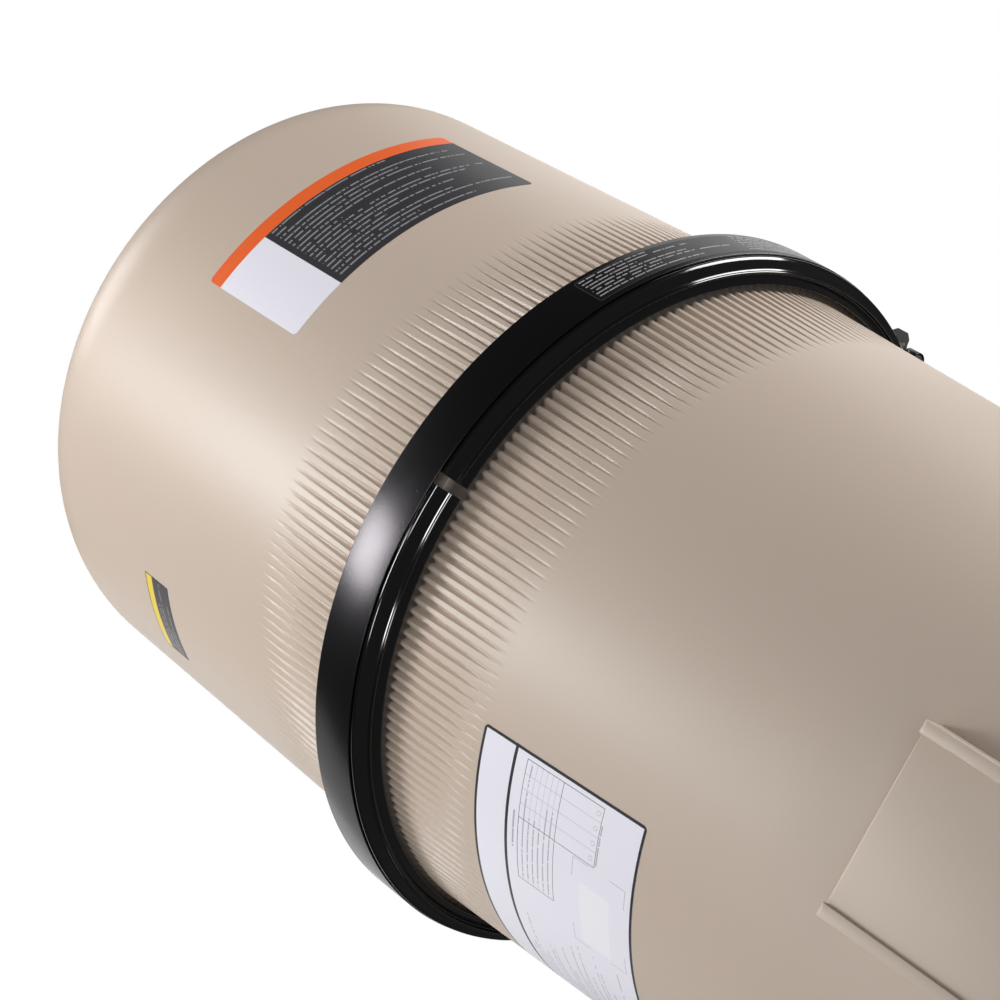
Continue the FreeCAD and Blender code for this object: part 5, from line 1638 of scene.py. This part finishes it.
@dataclass
class VClamp:
    """Tension band, V-retainers and the bolt set."""

    radius: float = BAND_RADIUS
    thick: float = 0.0015
    half: float = 0.0177
    heading: float = 176.2
    gap_angle: float = 1.84
    pin_angle: float = 6.4
    pin_radius: float = 0.007
    pin_play: float = 0.0003
    roll_round: float = 0.0016
    strap_round: float = 0.0006
    loop_round: float = 0.0005
    window: float = 0.0076
    mark_sink: float = 0.00012
    mark_lean: float = 35.0
    mark_lean_per_mm: float = 3.0
    mark_stretch: tuple[float, float] = (0.5, 1.5)

    def build(self) -> None:
        """Build the clamp's visible pieces."""
        self.build_retainers()
        self.build_band()
        self.build_marks()

    def retainer_outline(self) -> Outline:
        """Rolled section of a retainer, in the joint's frame.

        Returns:
            Corners (radius, height): below the joint an outer crest, a shelf, a lower crest and
            a turned-in lip, above it a plainer limb.
        """
        outside = [(242.2, 29.5), (242.7, 30.2), (243.5, 30.3), (245.3, 29.2), (247.0, 28.0),
                   (248.4, 27.0), (249.1, 26.8), (249.6, 27.4), (249.9, 28.5), (250.5, 29.5),
                   (251.3, 29.5), (251.8, 28.8), (252.0, 27.9), (252.5, 27.0), (253.4, 26.2),
                   (254.8, 25.2), (256.4, 24.1), (257.9, 22.8), (258.9, 21.5), (259.3, 20.3),
                   (259.1, 19.2), (258.6, 18.3), (258.2, 17.6)]
        above = [(239.3, 28.7), (243.5, 29.0), (246.6, 27.3), (248.9, 25.6), (250.4, 24.5),
                 (251.6, 23.6), (253.6, 22.0), (256.0, 20.4), (258.0, 18.6), (258.2, 17.6)]
        inside = [(242.2, 28.8), (243.0, 26.0), (250.7, 20.8), (254.2, 20.0), (256.3, 19.2),
                  (256.3, 17.0)]
        beyond = [(239.3, 27.6), (243.5, 27.6), (246.4, 25.9), (248.6, 24.2), (250.9, 20.6),
                  (254.2, 20.0), (256.3, 19.0), (256.3, 17.0)]
        lower = [(r * MM, -z * MM) for r, z in outside]
        upper = [(r * MM, z * MM) for r, z in reversed(above)]
        back = [(r * MM, z * MM) for r, z in beyond]
        front = [(r * MM, -z * MM) for r, z in reversed(inside)]
        return softened(lower + upper + back + front, self.roll_round, 2)

    def build_retainers(self) -> None:
        """Three retainers with small gaps between them."""
        outline = [(r, z + JOINT_HEIGHT) for r, z in self.retainer_outline()]
        sweep = 120.0 - self.gap_angle
        for index in range(3):
            name = f"clamp_segment_{index + 1}"
            first = self.heading + 120.0 * index + self.gap_angle / 2.0
            mesh = turned_mesh(name, outline, 132, first, sweep)
            place(f"v_retainer_{index + 1}", mesh,
                  Placing(RETAINER, "gloss_black_retainer", replaces=(name,), sharp=50.0))

    def build_band(self) -> None:
        """Tension band with eased edges and a loop at each end."""
        inner = self.radius - self.thick
        outline = softened([(inner, -self.half), (self.radius, -self.half),
                            (self.radius, self.half), (inner, self.half)], self.strap_round, 3)
        outline = [(r, z + JOINT_HEIGHT) for r, z in outline]
        first = self.heading + self.pin_angle
        strap = turned_mesh("strap", outline, 340, first, 360.0 - 2.0 * self.pin_angle)
        hole = self.pin_radius + self.pin_play
        middle = inner + hole + self.thick
        line = middle * math.cos(math.radians(self.pin_angle))
        aside = middle * math.sin(math.radians(self.pin_angle))
        meshes = [strap]
        frame = Matrix.Rotation(math.radians(self.heading), 4, "Z")
        for sign in (-1.0, 1.0):
            for low, high in ((self.window, self.half), (-self.half, -self.window)):
                loop = turned_mesh("loop", softened([
                    (hole, low), (hole + self.thick, low), (hole + self.thick, high),
                    (hole, high)], self.loop_round), 48)
                loop.transform(frame @ Matrix.Translation((aside * sign, -line, JOINT_HEIGHT)))
                meshes.append(loop)
        band = joined_mesh("tension_band", meshes)
        place("tension_band", band, Placing(BAND, "satin_black_band",
                                            replaces=("clamp_band",)))

    def build_marks(self) -> None:
        """Small raised spatter marks on the band beside each retainer's end."""
        spots = [(-3.3, 9.8, 2.0, 0.62), (-4.5, 13.6, 1.1, 0.36), (-3.45, 2.1, 1.3, 0.42),
                 (-2.6, -0.9, 1.6, 0.48), (-2.15, -4.1, 1.0, 0.32), (-3.0, -11.3, 1.7, 0.5),
                 (-3.9, -8.6, 1.5, 0.42)]
        slim = Matrix.Diagonal((*self.mark_stretch, 1.0, 1.0))
        marks = []
        for index in range(3):
            gap = self.heading + 120.0 * index
            for offset, rise, size, height in spots:
                outline = [(0.0, -0.05), (size * 0.5, -0.05), (size * 0.42, height * 0.7),
                           (size * 0.2, height), (0.0, height)]
                outline = [(r * MM, z * MM) for r, z in outline]
                mark = turned_mesh("mark", outline, 16, solid=True)
                turn = math.radians(self.mark_lean + rise * self.mark_lean_per_mm)
                lean = Matrix.Rotation(turn, 4, "Z")
                mark.transform(outward_frame(gap + offset, self.radius - self.mark_sink,
                                             JOINT_HEIGHT + rise * MM) @ lean @ slim)
                marks.append(mark)
        place("weld_marks", joined_mesh("weld_marks", marks),
              Placing(RETAINER, "satin_black_band", sharp=80.0))


@dataclass
class Panels:
    """Printed panels on the shells and the band, without lettering."""

    film: float = 0.00016
    back: float = 0.00001
    columns: int = 60
    rows: int = 4
    corner_steps: int = 5

    def build(self, shells: TankShells) -> None:
        """Build the four panels.

        Args:
            shells: the shells, for the walls that the panels lie on.
        """
        joint = JOINT_HEIGHT
        self.panel("specification_panel", SpecificationPanel(
            "specification_print", Tone.PAPER, 0.34, width=232.0, height=142.5),
            (-28.4, 28.4), (joint - 0.2575, joint - 0.1150), shells.tank_wall, flare=0.04)
        self.panel("lid_panel", LidPanel(
            "lid_print", Tone.CHARCOAL, 0.34, width=218.4, height=101.5),
            (62.5, 116.5), (joint + 0.1804, joint + 0.2819), shells.lid_wall)
        self.panel("small_lid_panel", SmallPanel(
            "small_lid_print", Tone.CHARCOAL, 0.34, width=69.8, height=28.5),
            (-8.5, 8.75), (joint + 0.2280, joint + 0.2565), shells.lid_wall, 0.0004)
        self.panel("band_panel", BandPanel(
            "band_print", Tone.SATIN_BLACK, 0.3, width=240.0, height=27.6),
            (91.2, 144.1), (joint - 0.0138, joint + 0.0138), lambda height: BAND_RADIUS, 0.0015)

    def panel(self, name: str, finish: PrintedPanel, headings: tuple[float, float],
              heights: tuple[float, float], wall: Callable[[float], float],
              corner: float = 0.0035, flare: float = 0.0) -> None:
        """A thin curved film with rounded corners.

        Args:
            name: the piece's name.
            finish: its print.
            headings: first and last heading.
            heights: lowest and highest height.
            wall: gives the wall's radius at a height.
            corner: corner radius.
            flare: how much wider the lower edge is, as a share.
        """
        first, last = headings
        low, high = heights
        middle = (first + last) / 2.0
        radius = wall((low + high) / 2.0)
        width = math.radians(last - first) * radius
        quarter = math.pi / 2.0 / self.corner_steps
        eased = [corner * (1.0 - math.cos(quarter * step))
                 for step in range(self.corner_steps + 1)]
        inner = np.linspace(corner, width - corner, self.columns)[1:-1]
        stations = eased + list(inner) + [width - value for value in reversed(eased)]
        points, faces, spots = [], [], []
        rows = self.rows
        for along in stations:
            near = min(along, width - along)
            inset = corner - math.sqrt(max(corner ** 2 - max(corner - near, 0.0) ** 2, 0.0))
            heading = first + (last - first) * along / width
            for lift in (self.film, self.back):
                for row in range(rows + 1):
                    height = low + inset + (high - low - 2.0 * inset) * row / rows
                    spread = 1.0 + flare * (high - height) / (high - low)
                    turned = middle + (heading - middle) * spread
                    points.append(spot(turned, wall(height) + lift, height))
                    spots.append((along / width, (height - low) / (high - low)))
        per = 2 * (rows + 1)
        for index in range(len(stations) - 1):
            here, beside = index * per, (index + 1) * per
            for row in range(rows):
                faces.append((here + row, beside + row, beside + row + 1, here + row + 1))
                back = rows + 1 + row
                faces.append((here + back, here + back + 1, beside + back + 1, beside + back))
            faces.append((here, here + rows + 1, beside + rows + 1, beside))
            faces.append((here + rows, beside + rows, beside + per - 1, here + per - 1))
        faces.append(tuple(range(rows + 1)) + tuple(range(per - 1, rows, -1)))
        end = (len(stations) - 1) * per
        faces.append(tuple(end + i for i in range(rows, -1, -1))
                     + tuple(end + i for i in range(rows + 1, per)))
        mesh = mesh_of(name, points, faces)
        layer = mesh.uv_layers.new(name="print")
        for loop in mesh.loops:
            layer.data[loop.index].uv = spots[loop.vertex_index]
        place(name, mesh, Placing(finish, "tan_shell", sharp=60.0))


@dataclass
class Fittings:
    """Union nuts, relief knob and reference ring with their ribs, and the dial's marks."""

    nut_ribs: int = 12
    knob_ring: tuple[float, float] = (0.0293, 0.0355)
    knob_round: float = 0.0014
    knob_ribs: int = 36
    wing_root: float = 0.033
    wing_reach: float = 0.0485
    wing_half: float = 0.0035
    ring_bore: float = 0.0318
    ring_lip: float = 0.0295
    ring_lip_depth: float = 0.0016
    ring_round: float = 0.0005
    ring_ribs: int = 60
    rib_rise: float = 0.0007
    tick_edge: float = 0.0255
    tick_half_depth: float = 0.0001
    dial_start: float = 225.0
    dial_sweep: float = 270.0
    number_circle: float = 0.0166
    number_size: float = 0.0058

    def build(self, shells: TankShells) -> None:
        """Build the fittings that need more than their solids show.

        Args:
            shells: the shells, for the places of the ports.
        """
        ring = RingRule()
        for name, sign in (("inlet", 1.0), ("outlet", -1.0)):
            frame = outward_frame(shells.port_heading * sign, shells.pad_face,
                                  shells.port_height)
            self.build_union_nut(ring, name, frame)
        self.build_knob(ring)
        self.build_dial(ring)
        self.build_reference_ring(ring)

    def build_union_nut(self, ring: RingRule, name: str, frame: Matrix) -> None:
        """One union nut with grip ribs.

        Args:
            ring: the rule that copies the ribs.
            name: "inlet" or "outlet".
            frame: the port's frame.
        """
        outline = softened([
            (42.3, 14.0), (48.2, 14.0), (48.2, 40.5), (46.2, 46.5), (42.5, 54.0),
            (35.3, 54.0), (35.3, 46.3), (42.3, 46.3)], 1.2)
        body = turned_mesh("nut_body", [(r * MM, z * MM) for r, z in outline], 120)
        rib = bevelled(extruded_mesh("rib", [
            (0.0465, -0.0042), (0.0494, -0.003), (0.0494, 0.003), (0.0465, 0.0042)],
            0.0155, 0.0425), 0.0009, 2, 30.0)
        ribs = ring.ring(rib, self.nut_ribs, BLACK, "nut_ribs")
        whole = joined_mesh(f"{name}_union_nut_grip", [body, ribs])
        whole.transform(frame)
        place(f"{name}_union_nut_grip", whole,
              Placing(BLACK, "black_plastic", f"{name}_nut", (f"{name}_union_nut",)))

    def build_knob(self, ring: RingRule) -> None:
        """Relief knob: ring with two rounded wings and fine grip ribs.

        Args:
            ring: the rule that copies wings and ribs.
        """
        low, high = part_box("relief_knob")
        inner, outer = self.knob_ring
        outline = softened([(inner, low.z), (outer, low.z), (outer, high.z), (inner, high.z)],
                           self.knob_round)
        body = turned_mesh("knob_body", outline, 96)
        wing_outline = [(self.wing_root, -self.wing_half)]
        wing_outline += arc((self.wing_reach, 0.0), self.wing_half, -90.0, 90.0, 10)
        wing_outline += [(self.wing_root, self.wing_half)]
        wing = bevelled(extruded_mesh("wing", wing_outline, low.z, high.z), 0.0012, 3, 40.0)
        wings = ring.ring(wing, 2, KNOB, "knob_wings")
        rib = bevelled(extruded_mesh("rib", [(0.035, -0.0009), (0.0363, -0.0006),
                                             (0.0363, 0.0006), (0.035, 0.0009)],
                                     low.z + 0.0015, high.z - 0.0015), 0.0003, 1, 30.0)
        ribs = ring.ring(rib, self.knob_ribs, KNOB, "knob_ribs", start=5.0)
        whole = joined_mesh("relief_knob_grip", [body, wings, ribs])
        place("relief_knob_grip", whole,
              Placing(KNOB, "knob_plastic", "valve_knob", ("relief_knob",)))

    def build_dial(self, ring: RingRule) -> None:
        """Tick marks and plain numbers on the dial.

        Args:
            ring: the rule that copies the ticks.
        """
        low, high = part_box("gauge_dial")
        middle = (low.z + high.z) / 2.0
        longs = self.ticks(ring, "long_ticks", 7, 0.0205, 0.0004)
        shorts = self.ticks(ring, "short_ticks", 31, 0.0228, 0.0002)
        numbers = [self.dial_number(index) for index in range(7)]
        marks = joined_mesh("dial_marks", [longs, shorts, *numbers])
        marks.transform(outward_frame(0.0, -low.y, middle))
        place("dial_marks", marks, Placing(DIAL_INK, "needle_red", sharp=60.0))

    def ticks(self, ring: RingRule, name: str, count: int, inner: float,
              half: float) -> bpy.types.Mesh:
        """Tick marks over the dial's sweep.

        Args:
            ring: the rule that copies the tick.
            name: the mesh's name.
            count: number of ticks, the ends included.
            inner: distance of a tick's inner end from the middle.
            half: half of its width.

        Returns:
            One mesh of all the ticks.
        """
        depth = self.tick_half_depth
        tick = extruded_mesh("tick", [(inner, -half), (self.tick_edge, -half),
                                      (self.tick_edge, half), (inner, half)], -depth, depth)
        sweep = -self.dial_sweep * count / (count - 1)
        return ring.ring(tick, count, DIAL_INK, name, self.dial_start, sweep)

    def dial_number(self, index: int) -> bpy.types.Mesh:
        """One plain number beside a long tick.

        Args:
            index: 0 for the first long tick.

        Returns:
            The number's mesh, in the dial's frame.
        """
        angle = math.radians(self.dial_start - 45.0 * index)
        curve = bpy.data.curves.new("number", "FONT")
        curve.body = str(index * 10)
        curve.size = self.number_size
        curve.align_x = "CENTER"
        curve.align_y = "CENTER"
        curve.extrude = self.tick_half_depth
        text = bpy.data.objects.new("number", curve)
        bpy.context.scene.collection.objects.link(text)
        mesh = evaluated_mesh(text, "number")
        bpy.data.objects.remove(text)
        mesh.transform(Matrix.Translation((self.number_circle * math.cos(angle),
                                           self.number_circle * math.sin(angle), 0.0)))
        return mesh

    def build_reference_ring(self, ring: RingRule) -> None:
        """Reference ring around the gauge with fine grip ribs.

        Args:
            ring: the rule that copies the ribs.
        """
        low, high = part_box("gauge_ring")
        middle = (low.z + high.z) / 2.0
        outer = (high.x - low.x) / 2.0
        depth = high.y - low.y
        edge = outer - self.rib_rise
        lip_foot = depth - self.ring_lip_depth
        outline = softened([(self.ring_bore, 0.0), (edge, 0.0), (edge, depth - 0.002),
                            (edge - 0.0015, depth), (self.ring_lip, depth),
                            (self.ring_lip, lip_foot), (self.ring_bore, lip_foot)],
                           self.ring_round, 2)
        body = turned_mesh("ring_body", outline, 120)
        rib = extruded_mesh("rib", [(outer - 0.001, -0.0008), (outer, -0.0005),
                                    (outer, 0.0005), (outer - 0.001, 0.0008)],
                            0.0006, depth - 0.0026)
        ribs = ring.ring(rib, self.ring_ribs, BLACK, "ring_ribs")
        whole = joined_mesh("reference_ring_grip", [body, ribs])
        whole.transform(outward_frame(0.0, -high.y, middle))
        place("reference_ring_grip", whole,
              Placing(BLACK, "black_plastic", "reference_ring", ("gauge_ring",)))


@dataclass(frozen=True)
class Softbox:
    """A softbox that faces the lid's lower half.

    Its heading is seen from the tank's axis and its rise is in degrees above what it faces;
    distance, width and height are metres and the power is watts. One that isn't mirrored stays
    out of reflections, and one that isn't diffuse shows in reflections only.
    """

    name: str
    heading: float
    rise: float
    distance: float
    size: tuple[float, float]
    power: float
    mirrored: bool = True
    diffuse: bool = True

    TARGET = (0.0, 0.0, JOINT_HEIGHT + 0.1)

    def build(self) -> None:
        """Make the lamp."""
        data = bpy.data.lights.new(self.name, "AREA")
        data.shape = "RECTANGLE"
        data.size, data.size_y = self.size
        data.energy = self.power
        lamp = bpy.data.objects.new(self.name, data)
        lamp.visible_glossy = self.mirrored
        lamp.visible_diffuse = self.diffuse
        target = Vector(self.TARGET)
        up = math.radians(self.rise)
        away = spot(self.heading, self.distance * math.cos(up), self.distance * math.sin(up))
        lamp.location = target + away
        lamp.rotation_euler = (-away).to_track_quat("-Z", "Y").to_euler()
        bpy.context.scene.collection.objects.link(lamp)


LAMPS = (
    Softbox("key_softbox", 28.3, 36.0, 1.8, (0.5, 0.55), 18.8),
    Softbox("front_fill", 12.0, 3.0, 2.0, (0.9, 0.9), 5.6, mirrored=False),
    Softbox("front_spot", 16.0, -14.0, 2.2, (0.36, 0.3), 9.0, diffuse=False),
    Softbox("ridge_light", 47.0, -17.0, 2.2, (0.55, 0.35), 17.0, diffuse=False),
    Softbox("top_light", 35.0, 72.0, 2.2, (0.8, 0.8), 14.0, diffuse=False),
    Softbox("left_softbox", -85.0, 40.0, 2.6, (1.2, 1.2), 4.0),
    Softbox("left_fill", -55.0, 30.0, 2.6, (1.2, 1.2), 8.5, mirrored=False),
    Softbox("left_glow", -52.0, 34.0, 2.6, (1.5, 1.2), 3.7, diffuse=False),
    Softbox("left_strip", -105.5, 37.0, 2.6, (0.42, 1.4), 3.8),
    Softbox("right_softbox", 157.0, -4.0, 2.6, (1.3, 1.1), 60.0),
    Softbox("right_glow", 183.0, 37.0, 2.2, (1.9, 0.9), 5.5, diffuse=False),
    Softbox("right_strip", 218.5, 37.0, 2.6, (0.36, 1.4), 3.0),
)


@dataclass
class Studio:
    """Camera, lamps, world and floor.

    The camera's distance is in band radii and its focal length and aim are in pixels of a picture
    1000 pixels wide.
    """

    distance: float = 8.27087
    below: float = 37.309
    roll: float = -56.522
    heading: float = 57.5
    focal: float = 3124.19
    aim: tuple[float, float] = (635.779, 597.638)
    aim_drop: float = 0.00148
    picture: float = 1000.0
    sensor: float = 36.0
    surround: float = 0.268
    below_glow: float = 0.36
    below_slope: float = -4.0
    mirror_loss: float = 0.85
    floor_size: float = 1.6
    floor_solid: float = 0.5
    floor_fade: float = 1.0
    floor_tones: tuple[float, float] = (0.83, 0.86)

    def build(self) -> None:
        """Build the studio."""
        self.build_camera()
        self.build_world()
        self.build_floor()
        for lamp in LAMPS:
            lamp.build()

    def build_camera(self) -> None:
        """Camera fitted to the photograph."""
        down = math.radians(self.below)
        away = self.distance * BAND_RADIUS
        turn = Matrix.Rotation(math.radians(self.heading), 3, "Z")
        target = Vector((0.0, 0.0, JOINT_HEIGHT - self.aim_drop))
        offset = turn @ (Vector((0.0, -math.cos(down), -math.sin(down))) * away)
        forward = -offset.normalized()
        right = forward.cross(Vector((0.0, 0.0, 1.0))).normalized()
        low = forward.cross(right)
        rows = Matrix((right, low, forward))
        angle = math.radians(self.roll)
        rolled = Matrix(((math.cos(angle), -math.sin(angle), 0.0),
                         (math.sin(angle), math.cos(angle), 0.0), (0.0, 0.0, 1.0))) @ rows
        half = self.picture / 2.0
        sight = Vector(((self.aim[0] - half) / self.focal, (self.aim[1] - half) / self.focal, 1.0))
        swing = Vector((0.0, 0.0, 1.0)).rotation_difference(sight).to_matrix()
        view = swing @ rolled
        columns = Matrix((view[0], -view[1], -view[2])).transposed()
        data = bpy.data.cameras.new("photo_camera")
        data.sensor_width = self.sensor
        data.sensor_fit = "HORIZONTAL"
        data.lens = self.focal * self.sensor / self.picture
        data.clip_end = 50.0
        camera = bpy.data.objects.new("photo_camera", data)
        camera.matrix_world = Matrix.Translation(target + offset) @ columns.to_4x4()
        bpy.context.scene.collection.objects.link(camera)
        bpy.context.scene.camera = camera

    def build_world(self) -> None:
        """White to the camera, soft grey to the rest."""
        world = bpy.data.worlds.new("studio")
        world.use_nodes = True
        graph = Graph(world.node_tree)
        path = graph.node("ShaderNodeLightPath")
        through = graph.value(path, "Is Transmission Ray")
        seen = graph.value(path, "Is Camera Ray").higher(through)
        mirror = graph.value(path, "Is Glossy Ray")
        place_node = graph.node("ShaderNodeTexCoord")
        parts = graph.node("ShaderNodeSeparateXYZ", None, {0: place_node.outputs["Generated"]})
        rise = graph.value(parts, "Z")
        below = (rise * self.below_slope).limited()
        soft = below * self.below_glow + self.surround
        soft = soft * (1.0 - mirror * self.mirror_loss)
        strength = soft * (1.0 - seen) + seen
        back = graph.node("ShaderNodeBackground", None, {"Color": (1.0, 1.0, 1.0),
                                                         "Strength": strength})
        output = graph.node("ShaderNodeOutputWorld")
        graph.tree.links.new(back.outputs[0], output.inputs[0])
        bpy.context.scene.world = world
        bpy.context.scene.view_settings.view_transform = "Standard"

    def build_floor(self) -> None:
        """Pale floor that fades out around and lets a camera below it look through."""
        size = self.floor_size
        mesh = mesh_of("floor", [(-size, -size, 0), (size, -size, 0), (size, size, 0),
                                 (-size, size, 0)], [(0, 1, 2, 3)])
        made = bpy.data.materials.new("pale_floor")
        made.use_nodes = True
        graph = Graph(made.node_tree)
        path = graph.node("ShaderNodeLightPath")
        side = graph.node("ShaderNodeNewGeometry")
        open_side = graph.value(side, "Backfacing").higher(graph.value(path, "Is Shadow Ray"))
        place_node = graph.node("ShaderNodeTexCoord").outputs["Object"]
        away = graph.value(graph.node("ShaderNodeVectorMath", {"operation": "LENGTH"},
                                      {0: place_node}), "Value")
        open_side = open_side.higher(((away - self.floor_solid) / self.floor_fade).limited())
        cloud = graph.noise(place_node, 3.0, 3.0)
        dim, bright = self.floor_tones
        pale = graph.mixed(cloud, (dim,) * 3, (bright,) * 3)
        surface = graph.node("ShaderNodeBsdfDiffuse", None, {"Color": pale})
        clear = graph.node("ShaderNodeBsdfTransparent")
        both = graph.node("ShaderNodeMixShader", None, {
            0: open_side, 1: surface.outputs[0], 2: clear.outputs[0]})
        output = graph.node("ShaderNodeOutputMaterial")
        graph.tree.links.new(both.outputs[0], output.inputs[0])
        mesh.materials.append(made)
        floor = as_object("floor", mesh)
        floor.visible_glossy = False
        floor.visible_diffuse = False


def dress_nodes(frame: dict[str, Any]) -> None:
    """Give every carried-over solid the finish of its slot.

    Args:
        frame: the loaded frame.
    """
    slots = {part["node"]: part["material_slot"] for part in frame["record"]["subparts"]}
    for name, piece in frame["nodes"].items():
        finish = SLOT_FINISH[slots[name]]
        piece.data.materials.clear()
        piece.data.materials.append(finish.material())


def main() -> None:
    """Load the frame and build the filter's looks around it."""
    logging.basicConfig(level=logging.INFO, format="%(name)s: %(message)s")
    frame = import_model()
    Studio().build()
    dress_nodes(frame)
    shells = TankShells()
    shells.build()
    VClamp().build()
    Panels().build(shells)
    Fittings().build(shells)
    bpy.context.view_layer.update()


if __name__ == "__main__":
    main()
